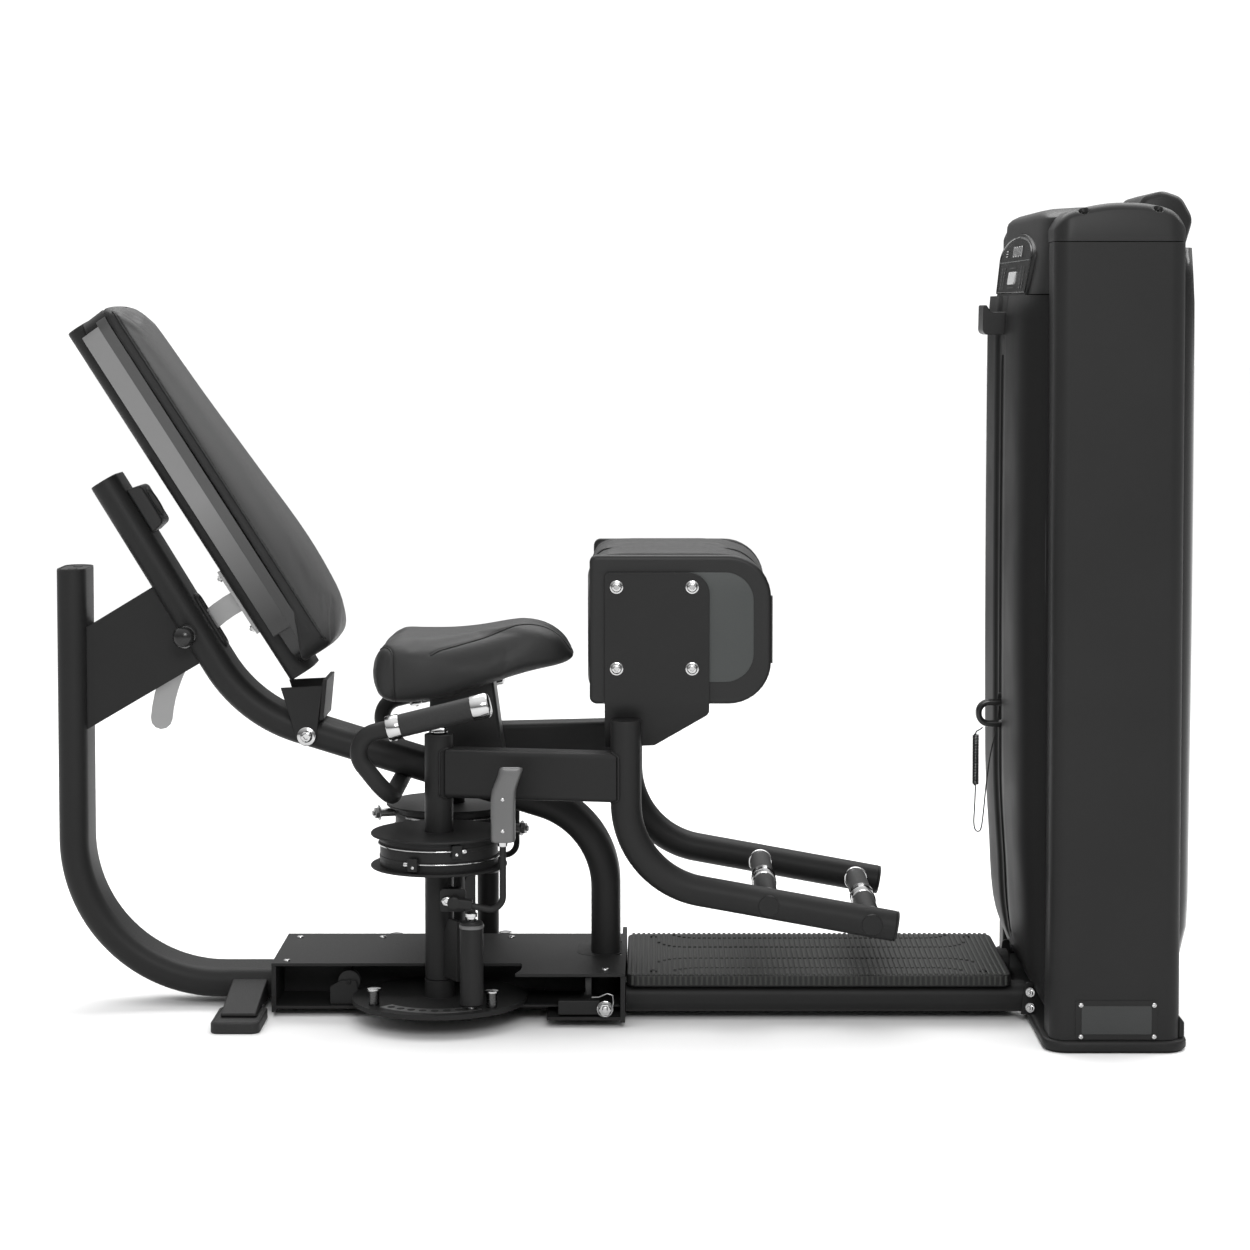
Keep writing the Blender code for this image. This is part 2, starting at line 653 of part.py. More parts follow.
def make_thigh_pad():
    plate_y = (PAD_OUTER - 0.006, PAD_OUTER)
    outline = [(-0.023, 0.4665), (0.060, 0.4700), (0.151, 0.525), (0.1515, 0.762), (-0.023, 0.762)]
    outline = rounded(outline, [0, 0, 0.010, 0.040, 0.010], 4)
    plate = prism("pad_plate_right", outline, "Y", *plate_y, "powder_coat")
    post = rod("post", (POST_X, POST_Y, 0.3), (POST_X, POST_Y, 0.5205), BAR_R + GAP, "steel", 24)
    carved(plate, post)
    boss = box("boss", (0.0395, -0.196, 0.480), (0.090, -0.150, 0.530), "powder_coat", 0.004, 1)
    on_left(fused(plate, boss))

    corners = [(PAD_REAR, PAD_LOW), (PAD_FRONT, PAD_LOW), (PAD_FRONT, PAD_HIGH), (PAD_REAR, PAD_HIGH)]
    outline = rounded(corners, [0.008, 0.071, 0.071, 0.008], 6)
    shell_in = PAD_OUTER + SHELL_DEEP
    shell = prism("pad_shell_right", outline, "Y", PAD_OUTER + GAP, shell_in, "plastic")
    on_left(bevelled(shell, 0.003, 1))

    def level(inset, y):
        low, high = PAD_LOW + inset, PAD_HIGH - inset
        ends = [
            (PAD_REAR + inset, low),
            (PAD_FRONT - inset, low),
            (PAD_FRONT - inset, high),
            (PAD_REAR + inset, high),
        ]
        ring = rounded(ends, [0.020, 0.071 - inset, 0.071 - inset, 0.020], 5)
        return [Vector((x, y, z)) for x, z in ring]

    rows = [
        (0.003, shell_in + GAP), (0.0, shell_in + 0.012), (0.0, -0.030), (0.006, -0.014), (0.018, PAD_INNER)
    ]
    on_left(lofted("pad_cushion_right", [level(*row) for row in rows], "vinyl"))


def tangent_cable(name, z, sign):
    """One closing cable of the pair that crosses between the drums, at height z."""
    radius = DRUM_R + 0.0022
    reach = -2 * COLUMN_Y
    lean = math.acos(2 * radius / reach)
    wrap = math.radians(100)
    path = []
    for k in range(13):
        turn = math.pi / 2 - sign * (lean - wrap * (1 - k / 12))
        path.append((COLUMN_X + radius * math.cos(turn), COLUMN_Y + radius * math.sin(turn), z))
    twin = [(2 * COLUMN_X - x, -y, z) for x, y, _ in path[::-1]]
    swept(name, path + twin, circle(0.0016, 6), "steel", (0, 0, 1))


# ---------------------------------------------------------------- backrest


def back_point(s, t, y=0.0):
    return BACK_TOP + BACK_DOWN * s + BACK_OUT * t + SIDE * y


def make_back_frame():
    section = oval(TUBE_THICK - 0.001, TUBE_WIDE, 0.022, 5)
    middle = (TUBE_THICK - 0.001) / 2
    path = [back_point(0.0, middle), back_point(BACK_LONG, middle)]
    tube = swept("back_frame", path, section, "powder_coat")
    hem = 0.017
    turns = [math.radians(a) for a in spaced(200, 340, 7)]
    outline = [(PIVOT.x + hem * math.cos(a), PIVOT.z + hem * math.sin(a)) for a in turns]
    outline += [(-0.504, 0.556), (-0.520, 0.590), (-0.560, 0.575), (-0.578, 0.556)]
    plates = [
        prism(
            f"plate{sign}", outline, "Y", *sorted((sign * 0.0565, sign * 0.0625)), "powder_coat"
        ) for sign in (-1, 1)
    ]
    bridge = [
        (-0.576, 0.545), (-0.506, 0.545), (-0.506, 0.556), (-0.522, 0.588), (-0.560, 0.573), (-0.576, 0.556)
    ]
    fused(tube, *plates, prism("bridge", bridge, "Y", -0.060, 0.060, "powder_coat"))
    carved(tube, rod("hole", PIVOT - SIDE * 0.1, PIVOT + SIDE * 0.1, 0.0083, "steel"))
    half = 0.0625 + GAP
    profile = [
        (0.0155, -half - 0.007),
        (0.0155, -half),
        (0.008, -half + GAP),
        (0.008, half - GAP),
        (0.0155, half),
        (0.0155, half + 0.007),
    ]
    turned("backrest_pivot_pin", profile, PIVOT, (0, 1, 0), "chrome", 16)


def make_recline_arc():
    inner, outer = ARC_R - ARC_WIDE / 2, ARC_R + ARC_WIDE / 2
    turns = [math.radians(a) for a in spaced(114, 175, 14)]
    outline = [(outer * math.cos(a), outer * math.sin(a)) for a in turns]
    end = turns[-1]
    tip = Vector((ARC_R * math.cos(end), ARC_R * math.sin(end)))
    outline += [
        (tip.x + ARC_WIDE / 2 * math.cos(end + a), tip.y + ARC_WIDE / 2 * math.sin(end + a))
        for a in (math.radians(b) for b in (30, 60, 90, 120, 150))
    ]
    outline += [(inner * math.cos(a), inner * math.sin(a)) for a in turns[::-1]]
    outline = [(PIVOT.x + x, PIVOT.z + z) for x, z in outline]
    arc = prism("recline_arc", outline, "Y", -ARC_THICK / 2, ARC_THICK / 2, "steel")
    rings = []
    for y in (-0.030, 0.030):
        rings.append(
            [
                back_point(s, t, y)
                for s, t in ((0.478, -0.0063), (0.604, -0.0063), (0.604, -GAP), (0.478, -GAP))
            ]
        )
    plate = lofted("plate", rings, "steel")
    rings = []
    for y in (-0.1, 0.1):
        rings.append([back_point(s, t, y) for s, t in ((0.4, -0.003), (0.7, -0.003), (0.7, 0.1), (0.4, 0.1))])
    carved(arc, lofted("trim", rings, "steel"))
    fused(arc, plate)


def make_pull_pin():
    profile = [(0.005, -0.0085), (0.005, -0.0558), (0.011, -0.0562), (0.011, -0.0640), (0.006, -0.0660),
               (0.006, -0.0720), (0.013, -0.0770), (0.017, -0.0860), (0.0165, -0.0930), (0.012, -0.1010), (
                   0.005, -0.1040
               )]
    turned("recline_pull_pin", profile, (PULL_PIN_X, 0, PULL_PIN_Z), (0, 1, 0), "rubber", 16)


def make_back_pad():
    front = [(0.0, 0.064), (BACK_PAD_LONG, 0.078)]
    ends = 0.030

    def half(s):
        near = min(s, BACK_PAD_LONG - s) / ends
        return BACK_HALF - 0.028 * (1 - math.sqrt(1 - (1 - min(near, 1.0)) ** 2))

    ss = [
        0.002,
        0.010,
        0.030,
        0.15,
        0.32,
        0.50,
        BACK_PAD_LONG - 0.030,
        BACK_PAD_LONG - 0.010,
        BACK_PAD_LONG - 0.002,
    ]
    vs = [-1.0, -0.95, -0.6, 0.0, 0.6, 0.95, 1.0]
    shell = skin(
        "back_pad_shell",
        ss,
        vs,
        lambda s, v: back_point(s, between(front, s), v * half(s)),
        lambda s, v: back_point(s, 0.040, v * half(s)),
        "shell",
    )
    rings = []
    wide = TUBE_WIDE / 2 + 0.001
    for y in (-wide, wide):
        rings.append(
            [back_point(s, t, y) for s, t in ((-0.1, 0.0), (0.9, 0.0), (0.9, 0.0505), (-0.1, 0.0505))]
        )
    carved(shell, lofted("channel", rings, "steel"))

    crown = [(0.0, 0.098), (0.012, 0.110), (0.03, 0.116), (0.20, 0.126), (0.36, 0.137), (0.51, 0.146), (0.62, 0.140),
             (0.66, 0.131), (0.68, 0.118), (BACK_PAD_LONG, 0.104)]

    def top(s, v):
        rise = between(crown, s) - between(front, s)
        return back_point(s, between(front, s) + rise * (1 - 0.42 * abs(v) ** 6), v * half(s) * 0.99)

    ss = [
        0.003,
        0.012,
        0.030,
        0.09,
        0.18,
        0.27,
        0.36,
        0.44,
        0.51,
        0.57,
        0.62,
        0.655,
        0.675,
        BACK_PAD_LONG - 0.003,
    ]
    vs = [-1.0, -0.94, -0.8, -0.4, 0.0, 0.4, 0.8, 0.94, 1.0]
    skin(
        "back_pad_cushion",
        ss,
        vs,
        top,
        lambda s, v: back_point(s, between(front, s) + GAP, v * half(s) * 0.985),
        "vinyl",
    )


# ---------------------------------------------------------------- tower


def make_tower_frame():
    corners = [
        (TOWER_REAR, -TOWER_HALF),
        (TOWER_FRONT, -TOWER_HALF),
        (TOWER_FRONT, -UPRIGHT_IN),
        (TOWER_REAR, -UPRIGHT_IN),
    ]
    outline = rounded(corners, [0.026, 0.026, 0.004, 0.004], 5)
    on_left(prism("tower_side_right", outline, "Z", BASE_TOP + GAP, UPRIGHT_TOP, "powder_coat"))

    corners = [(0.688, -0.376), (0.922, -0.376), (0.922, 0.376), (0.688, 0.376)]
    base = prism("tower_base_plate", rounded(corners, 0.040, 6), "Z", 0.0, BASE_TOP, "powder_coat")
    bevelled(base, 0.003, 1)

    outline = [
        (TOWER_REAR, UPRIGHT_TOP + GAP),
        (TOWER_FRONT, UPRIGHT_TOP + GAP),
        (TOWER_FRONT, 1.335),
        (0.893, 1.351),
        (0.860, 1.362),
        (0.820, 1.368),
        (0.780, 1.368),
        (0.740, 1.361),
        (0.715, 1.353),
        (TOWER_REAR, 1.338),
    ]
    cap = prism("tower_top_cap", outline, "Y", -TOWER_HALF, TOWER_HALF, "plastic")
    bevelled(cap, 0.006, 2)
    notch = box("notch", (0.6, -0.292, 1.2), (0.7185, 0.292, 1.5), "steel")
    pulley_room = box("room", (0.725, -0.060, 1.25), (0.905, 0.060, 1.345), "steel")
    carved(cap, notch, pulley_room)

    outline = rounded(
        [
            (0.9093, 1.300),
            (0.958, 1.300),
            (0.9641, 1.350),
            (0.940, 1.392),
            (0.910, 1.398),
            (0.877, 1.388),
            (0.872, 1.370),
            (0.9093, 1.3695),
        ],
        [0, 0.004, 0.02, 0.012, 0.02, 0.01, 0, 0],
        3,
    )
    bevelled(prism("pulley_cover", outline, "Y", -0.110, 0.110, "plastic"), 0.005, 2)


def plan(y, half, edge, depth):
    """Where a cover stands in X at y: nearly flat, with its shoulders rounded back to the edge."""
    share = min(1.0, abs(y) / half)
    return edge + depth * (1 - share**9) ** 0.42


def cover_rows():
    outer = [-1.0, -0.992, -0.965, -0.92, -0.86, -0.76, -0.4]
    edge = SLOT_HALF / SHROUD_HALF
    return outer + [-edge, edge] + [-share for share in outer[::-1]]


def make_shrouds():
    lean = [
        (0.050, 0.006),
        (0.062, 0.012),
        (0.134, 0.038),
        (0.255, 0.048),
        (0.410, 0.056),
        (1.150, 0.056),
        (1.206, 0.052),
    ]
    levels = [
        0.050, 0.062, 0.090, SLOT_LOW, 0.19, 0.255, 0.33, 0.41, 0.60, 0.80, 1.00, SLOT_HIGH, 1.15, 1.206
    ]

    def face(v, z, inset):
        half = SHROUD_HALF - inset
        return Vector((plan(v * half, half, SHROUD_EDGE, inset - between(lean, z)), v * half, z))

    skin(
        "front_shroud",
        cover_rows(),
        levels,
        lambda v, z: face(v, z, 0.0),
        lambda v, z: face(v, z, min(SHROUD_SKIN, between(lean, z) * 0.6)),
        "plastic",
        lambda v, z: abs(v * SHROUD_HALF) < SLOT_HALF and SLOT_LOW < z < SLOT_HIGH,
    )

    bulge = [(0.140, 0.024), (0.170, 0.036), (0.300, 0.040), (1.200, 0.042), (1.298, 0.036)]

    def back(v, z, inset):
        half = SHROUD_HALF - inset
        return Vector((plan(v * half, half, 0.905, between(bulge, z) - inset), v * half, z))

    skin(
        "rear_shroud",
        cover_rows(),
        [0.140, 0.155, 0.17, 0.30, 0.60, 0.90, 1.20, 1.298],
        lambda v, z: back(v, z, 0.0),
        lambda v, z: back(v, z, SHROUD_SKIN),
        "plastic",
    )


def make_console():
    front = [(1.207, 0.045), (1.239, 0.040), (1.312, 0.031), (1.340, 0.027), (1.358, 0.018), (1.368, 0.006)]

    def face(v, z):
        half = SHROUD_HALF - 0.001
        return Vector((plan(v * half, half, SHROUD_EDGE + 0.001, -between(front, z)), v * half, z))

    skin(
        "display_console",
        cover_rows(),
        [1.2065, 1.225, 1.27, 1.312, 1.340, 1.358, 1.368],
        face,
        lambda v, z: Vector((SHROUD_EDGE + 0.004, v * (SHROUD_HALF - 0.001), z)),
        "plastic",
    )
    hook = [
        (0.619, 1.160),
        (0.6572, 1.160),
        (0.6592, 1.190),
        (0.6265, 1.190),
        (0.6255, 1.2055),
        (0.619, 1.2055),
    ]
    prism(
        "accessory_hook", rounded(hook, [0.003, 0, 0, 0.003, 0.002, 0.002], 2), "Y", -0.030, 0.030, "plastic"
    )


def make_stack():
    low = (STACK_X - STACK_LONG / 2, -STACK_HALF)
    high = (STACK_X + STACK_LONG / 2, STACK_HALF)
    plate_low, plate_high = PIN_Z - 0.012, PIN_Z + 0.013
    stack = box("weight_stack", (*low, BASE_TOP + 0.030), (*high, plate_low - 0.001), "steel", 0.004, 1)
    feet = [
        rod(
            f"foot{sign}",
            (STACK_X, sign * 0.08, BASE_TOP + GAP),
            (STACK_X, sign * 0.08, 0.06),
            0.02,
            "rubber",
            12,
        )
        for sign in (-1, 1)
    ]
    fused(stack, *feet)

    def holes():
        found = []
        for sign in (-1, 1):
            spot = Vector((STACK_X, sign * ROD_Y, 0))
            found.append(
                rod(
                    f"hole{sign}",
                    spot + Vector((0, 0, 0.02)),
                    spot + Vector((0, 0, 0.7)),
                    ROD_R + 0.001,
                    "steel",
                    16,
                )
            )
        return found

    stem_hole = rod("stem_hole", (STACK_X, 0, 0.0), (STACK_X, 0, 0.7), 0.0115, "steel", 16)
    carved(stack, stem_hole, *holes())

    head = box("weight_head", (*low, plate_low), (*high, plate_high), "steel", 0.004, 1)
    crown = box(
        "crown",
        (STACK_X - 0.045, -0.05, plate_high - 0.002),
        (STACK_X + 0.045, 0.05, plate_high + 0.040),
        "steel",
    )
    stem = rod("stem", (STACK_X, 0, 0.10), (STACK_X, 0, plate_high), 0.0105, "steel", 16)
    tab = rod(
        "tab", (0.661, 0, plate_high + 0.021), (STACK_X - 0.040, 0, plate_high + 0.021), 0.004, "steel", 10
    )
    fused(head, crown, stem, tab)
    pin_hole = rod("pin_hole", (0.6, 0, PIN_Z), (0.794, 0, PIN_Z), 0.0052, "steel", 12)
    carved(head, pin_hole, *holes())

    for name, y in (("guide_rod_right", -ROD_Y), ("guide_rod_left", ROD_Y)):
        rod(name, (STACK_X, y, BASE_TOP + GAP), (STACK_X, y, UPRIGHT_TOP - 0.004), ROD_R, "chrome", 16)

    rim = WHEEL_R + 0.004
    profile = [
        (0.012, -0.040),
        (0.012, -0.017),
        (rim, -0.017),
        (rim, -0.013),
        (WHEEL_R, -0.013),
        (WHEEL_R, 0.013),
        (rim, 0.013),
        (rim, 0.017),
        (0.012, 0.017),
        (0.012, 0.040),
    ]
    turned("top_pulley", profile, (WHEEL_X, 0, WHEEL_Z), (0, 1, 0), "plastic", 18)
    belt_x = WHEEL_X - WHEEL_R - 0.0013
    box(
        "lift_belt",
        (belt_x - 0.001, -0.011, plate_high + 0.040 + GAP),
        (belt_x + 0.001, 0.011, WHEEL_Z),
        "rubber",
    )


def make_selector_pin():
    x0, x1, half = 0.614, 0.686, 0.024
    outer = rounded(
        [(x0, PIN_Z - half), (x1, PIN_Z - half), (x1, PIN_Z + half), (x0, PIN_Z + half)], half - 0.001, 6
    )
    loop = prism("selector_pin", outer, "Y", -0.007, 0.007, "rubber")
    wall = 0.010
    hole = rounded(
        [
            (x0 + wall, PIN_Z - half + wall),
            (x1 - 0.020, PIN_Z - half + wall),
            (x1 - 0.020, PIN_Z + half - wall),
            (x0 + wall, PIN_Z + half - wall),
        ],
        half - wall - 0.001,
        4,
    )
    carved(loop, prism("hole", hole, "Y", -0.05, 0.05, "steel"))
    fused(loop, rod("shaft", (x1 - 0.010, 0, PIN_Z), (0.790, 0, PIN_Z), 0.0048, "steel", 12))


def smooth_route(points, count):
    """A Catmull-Rom curve through the points, read at count steps for each stretch."""
    points = [Vector(point) for point in points]
    padded = [2 * points[0] - points[1], *points, 2 * points[-1] - points[-2]]
    route = []
    for p0, p1, p2, p3 in zip(padded, padded[1:], padded[2:], padded[3:]):
        for k in range(count):
            t = k / count
            route.append(
                0.5
                * (
                    2 * p1 + (p2 - p0) * t + (2 * p0 - 5 * p1 + 4 * p2 - p3) * t**2 + (
                        3 * p1 - p0 - 3 * p2 + p3
                    ) * t**3
                )
            )
    return route + [points[-1]]


def cord_tube(name, route):
    curve = bpy.data.curves.new(name, "CURVE")
    curve.dimensions = "3D"
    curve.bevel_depth = 0.0012
    curve.bevel_resolution = 2
    curve.use_fill_caps = True
    spline = curve.splines.new("POLY")
    spline.points.add(len(route) - 1)
    for spot, point in zip(spline.points, route):
        spot.co = (*point, 1)
    curve.materials.append(paint_of("rubber", name))
    obj = bpy.data.objects.new(name, curve)
    bpy.context.scene.collection.objects.link(obj)
    return obj


def make_tether():
    """The coiled lead that keeps the selector pin with the stack."""
    x, top, low, coil_r = 0.6150, 0.466, 0.376, 0.006
    lead = [
        (0.6270, 0, 0.4770), (0.6235, 0, 0.4740), (0.6190, 0, 0.4715), (0.6160, 0, 0.4695), (x, 0, top + GAP)
    ]
    cord_tube("tether_lead", smooth_route(lead, 2))
    rod("tether_coil", (x, 0, top), (x, 0, low), coil_r, "rubber", 14)
    tail = [
        (x, 0, low - GAP),
        (x - 0.0005, 0, 0.360),
        (0.6135, 0, 0.335),
        (0.6125, 0, 0.312),
        (0.6150, 0, 0.299),
        (0.6210, 0, 0.296),
        (0.6255, 0, 0.303),
        (0.6290, 0, 0.330),
        (0.6345, 0.0058, 0.380),
        (0.6420, 0.0105, 0.430),
        (0.6500, 0.0105, 0.465),
        (0.6545, 0.0108, 0.490),
        (0.6565, 0.0108, 0.512),
        (0.6545, 0.0085, 0.528),
        (0.6550, 0.0030, 0.535),
        (0.6580, 0, 0.536),
        (0.6604, 0, 0.536),
    ]
    cord_tube("tether_tail", smooth_route(tail, 3))


def hang_on(name, spot, members):
    """Parents the named pieces to an empty that stands on their joint's axis."""
    empty = bpy.data.objects.new(name, None)
    bpy.context.scene.collection.objects.link(empty)
    empty.location = spot
    bpy.context.view_layer.update()
    for member in members:
        piece = bpy.data.objects[member]
        piece.parent = empty
        piece.matrix_parent_inverse = empty.matrix_world.inverted()
    return empty


def join_bodies():
    hang_on(
        "backrest_axis",
        PIVOT,
        ["back_frame", "back_pad_shell", "back_pad_cushion", "recline_arc", "backrest_pivot_pin"],
    )
    hang_on("stack_axis", (STACK_X, 0, 0), ["weight_head", "tether_lead", "tether_coil", "tether_tail"])
    hang_on("selector_pin_axis", (0.614, 0, PIN_Z), ["selector_pin"])
    hang_on("pull_pin_axis", (PULL_PIN_X, 0, PULL_PIN_Z), ["recline_pull_pin"])
    hang_on("pulley_axis", (WHEEL_X, 0, WHEEL_Z), ["top_pulley"])
    for side, sign in (("right", 1), ("left", -1)):
        column = (COLUMN_X, sign * COLUMN_Y, 0)
        names = ["selector_disc", "arm_frame", "sync_drum", "pad_plate", "pad_shell", "pad_cushion"]
        hang_on(f"{side}_column_axis", column, [f"{name}_{side}" for name in names])
        pivot = (LEVER_PIVOT.x, sign * LEVER_PIVOT.y, LEVER_PIVOT.z)
        hang_on(f"{side}_lever_axis", pivot, [f"start_lever_{side}"])
        hang_on(f"{side}_plunger_axis", (HOUSING.x, sign * HOUSING.y, 0), [f"start_plunger_{side}"])


def main():
    clear_scene()
    make_rear_frame()
    make_seat_frame()
    make_base()
    make_platform()
    make_seat()
    make_handles()
    make_arm()
    make_disc()
    make_start_lever()
    make_thigh_pad()
    tangent_cable("sync_cable_upper", 0.305, 1)
    tangent_cable("sync_cable_lower", 0.283, -1)
    make_back_frame()
    make_recline_arc()
    make_pull_pin()
    make_back_pad()
    make_tower_frame()
    make_shrouds()
    make_console()
    make_stack()
    make_selector_pin()
    make_tether()
    join_bodies()


main()
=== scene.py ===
"""The looks of the seated hip trainer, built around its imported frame.

Metres. +X points from the seat to the tower, +Z is up and the user's right is at -Y, as in the
frame. Each sub-part has its own function, and a left-hand piece is the mirror of its right one.
"""

import json
import math

import bmesh
import bpy
from mathutils import Matrix, Vector
from mathutils.bvhtree import BVHTree
from mathutils.kdtree import KDTree

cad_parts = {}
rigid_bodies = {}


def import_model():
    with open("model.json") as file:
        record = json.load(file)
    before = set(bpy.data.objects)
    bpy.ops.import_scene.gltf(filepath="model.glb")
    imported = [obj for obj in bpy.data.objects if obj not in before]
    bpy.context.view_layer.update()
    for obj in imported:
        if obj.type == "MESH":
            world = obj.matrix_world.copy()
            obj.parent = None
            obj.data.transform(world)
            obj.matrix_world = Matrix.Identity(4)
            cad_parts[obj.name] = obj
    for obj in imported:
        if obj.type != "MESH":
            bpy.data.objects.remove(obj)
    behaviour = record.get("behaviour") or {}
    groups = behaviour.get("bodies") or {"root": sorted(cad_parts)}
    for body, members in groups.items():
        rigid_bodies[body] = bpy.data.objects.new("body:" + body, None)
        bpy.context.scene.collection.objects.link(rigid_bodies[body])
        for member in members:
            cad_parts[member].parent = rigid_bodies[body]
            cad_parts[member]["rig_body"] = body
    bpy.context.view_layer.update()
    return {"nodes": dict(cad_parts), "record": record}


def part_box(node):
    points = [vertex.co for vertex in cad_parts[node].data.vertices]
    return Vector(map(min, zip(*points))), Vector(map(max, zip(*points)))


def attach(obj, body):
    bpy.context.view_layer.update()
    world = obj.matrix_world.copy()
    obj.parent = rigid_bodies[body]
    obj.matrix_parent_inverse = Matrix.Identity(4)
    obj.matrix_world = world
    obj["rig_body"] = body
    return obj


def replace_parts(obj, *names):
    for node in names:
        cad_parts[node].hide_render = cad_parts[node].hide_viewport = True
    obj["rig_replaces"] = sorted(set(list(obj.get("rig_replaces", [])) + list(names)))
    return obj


SIDE = Vector((0, 1, 0))
UP = Vector((0, 0, 1))

# Rear frame and seat frame, bent from one flat-oval tube
TUBE_THICK, TUBE_WIDE, TUBE_ROUND = 0.051, 0.110, 0.0245
REAR_X, REAR_BEND, BEAM_Z = -0.938, 0.25, 0.040
SEAT_TOP = Vector((-0.882, 0, 0.905))
SEAT_BEND = Vector((-0.640, 0, 0.507))
SEAT_KNEE = Vector((-0.024, 0, 0.317))
SEAT_BENDS = [0.25, 0.153]

# Hub
HUB_TOP = 0.092
COLUMN = Vector((-0.302, -0.15, 0))
COLUMN_R, COLUMN_TOP = 0.024, 0.487
DRUM_R, FLANGE_R, DRUM_LOW, DRUM_TOP = 0.099, 0.1145, 0.265, 0.323
ROPE_R, ROPE_TURN_R = 0.0016, DRUM_R + 0.0022
ARM_LOW, ARM_TOP, ARM_THICK = 0.382, 0.464, 0.050
POST = Vector((0.0127, -0.205, 0))
BAR_R, BAR_BEND, BAR_END = 0.0255, 0.15, Vector((0.4605, -0.205, 0.1726))
PEGS = ((0.2493, 0.2110), (0.4205, 0.1798))
HOUSING = Vector((-0.242, -0.248, 0))
HOUSING_R = 0.0195
LEVER = Vector((-0.271, -0.248, 0.221))

# Backrest: s runs down the tube's rear face from its top, t towards the user
BACK_TOP = Vector((-0.940, 0, 1.155))
BACK_DOWN = Vector((0.5355, 0, -0.8445)).normalized()
BACK_OUT = Vector((0.8445, 0, 0.5355)).normalized()
BACK_LONG, PAD_LONG, BACK_HALF = 0.702, 0.688, 0.130
PIVOT = Vector((-0.534, 0, 0.470))
ARC_R, ARC_WIDE = 0.258, 0.037

# Tower
SHROUD_HALF, SHROUD_EDGE = 0.288, 0.713
SLOT_HALF, SLOT_LOW, SLOT_HIGH = 0.013, 0.12, 1.12
COVER_WALL = 0.0035
PIN_Z = 0.502

# Frames of the short cloth run that swells each cushion
CLOTH_STEPS = 20

# Points round each screw and bolt head
BOLT_SIDES = 24

# The camera stands level with the tower's display, at the user's right
CAMERA_AT = Vector((0.0602, -5.147, 1.196))
CAMERA_DOWN = math.radians(2.904)
LENS, SENSOR = 86.3, 36.0
SHIFT = (-0.0237, -0.130)


# ---------------------------------------------------------------- outlines and solids


def spaced(low, high, count):
    return [low + (high - low) * k / count for k in range(count + 1)]


def between(table, x):
    """Smooth interpolation in a short list of (x, y) pairs."""
    if x <= table[0][0]:
        return table[0][1]
    for i, ((x0, y0), (x1, y1)) in enumerate(zip(table, table[1:])):
        if x > x1:
            continue
        before = table[i - 1] if i else (2 * x0 - x1, 2 * y0 - y1)
        after = table[i + 2] if i + 2 < len(table) else (2 * x1 - x0, 2 * y1 - y0)
        slope0 = (y1 - before[1]) / (x1 - before[0])
        slope1 = (after[1] - y0) / (after[0] - x0)
        span = x1 - x0
        t = (x - x0) / span
        rise = (2 * t**3 - 3 * t**2 + 1) * y0 + (3 * t**2 - 2 * t**3) * y1
        return rise + span * ((t**3 - 2 * t**2 + t) * slope0 + (t**3 - t**2) * slope1)
    return table[-1][1]


def arc_points(centre, start, end, steps):
    angle = start.angle(end)
    return [
        centre
        + (start * math.sin(angle * (1 - k / steps)) + end * math.sin(angle * k / steps))
        / math.sin(angle)
        for k in range(steps + 1)
    ]


def bent(corners, radii, step=3.0):
    """The polyline with each inner corner rounded to its radius."""
    corners = [Vector(corner) for corner in corners]
    path = [corners[0]]
    for before, corner, after, radius in zip(corners, corners[1:], corners[2:], radii):
        back = (before - corner).normalized()
        ahead = (after - corner).normalized()
        half = back.angle(ahead) / 2
        reach = radius / math.tan(half)
        centre = corner + (back + ahead).normalized() * radius / math.sin(half)
        steps = max(2, round(math.degrees(math.pi - 2 * half) / step))
        path += arc_points(centre, corner + back * reach - centre, corner + ahead * reach - centre, steps)
    return path + [corners[-1]]


def rounded(points, radius, steps=6):
    """A closed 2D outline with its corners rounded; radius is one number or one for each."""
    count = len(points)
    radii = radius if isinstance(radius, (list, tuple)) else [radius] * count
    outline = []
    for i, size in enumerate(radii):
        around = [Vector((*points[(i + k) % count], 0)) for k in (-1, 0, 1)]
        if size <= 0:
            outline.append(around[1])
            continue
        outline += bent(around, [size], step=90 / steps)[1:-1]
    return [(point.x, point.y) for point in outline]


def rect(x0, z0, x1, z1):
    """The four corners of an upright rectangle, in turn."""
    return [(x0, z0), (x1, z0), (x1, z1), (x0, z1)]


def inset_box(low, high, inset=0.0):
    """The box's outline in plan, moved in by inset."""
    return rect(low.x + inset, low.y + inset, high.x - inset, high.y - inset)


def side_rect(low, high, inset):
    """The box's outline seen from the side, moved in by inset."""
    return rect(low.x + inset, low.z + inset, high.x - inset, high.z - inset)


def oval(thick, wide, radius, steps=8):
    half, reach = thick / 2, wide / 2
    return rounded(rect(-half, -reach, half, reach), radius, steps)


def circle(radius, sides=40):
    turns = [2 * math.pi * k / sides for k in range(sides)]
    return [(radius * math.cos(turn), radius * math.sin(turn)) for turn in turns]


def add_rings(shape, rings, closed=False):
    """Adds a skin through rings of equal length, with its ends capped unless it closes on itself."""
    loops = [[shape.verts.new(point) for point in ring] for ring in rings]
    pairs = list(zip(loops, loops[1:]))
    if closed:
        pairs.append((loops[-1], loops[0]))
    for low, high in pairs:
        for i in range(len(low)):
            j = (i + 1) % len(low)
            shape.faces.new((low[i], low[j], high[j], high[i]))
    if not closed:
        shape.faces.new(loops[0][::-1])
        shape.faces.new(loops[-1])
    return shape


def lofted(rings, closed=False):
    return add_rings(bmesh.new(), rings, closed)


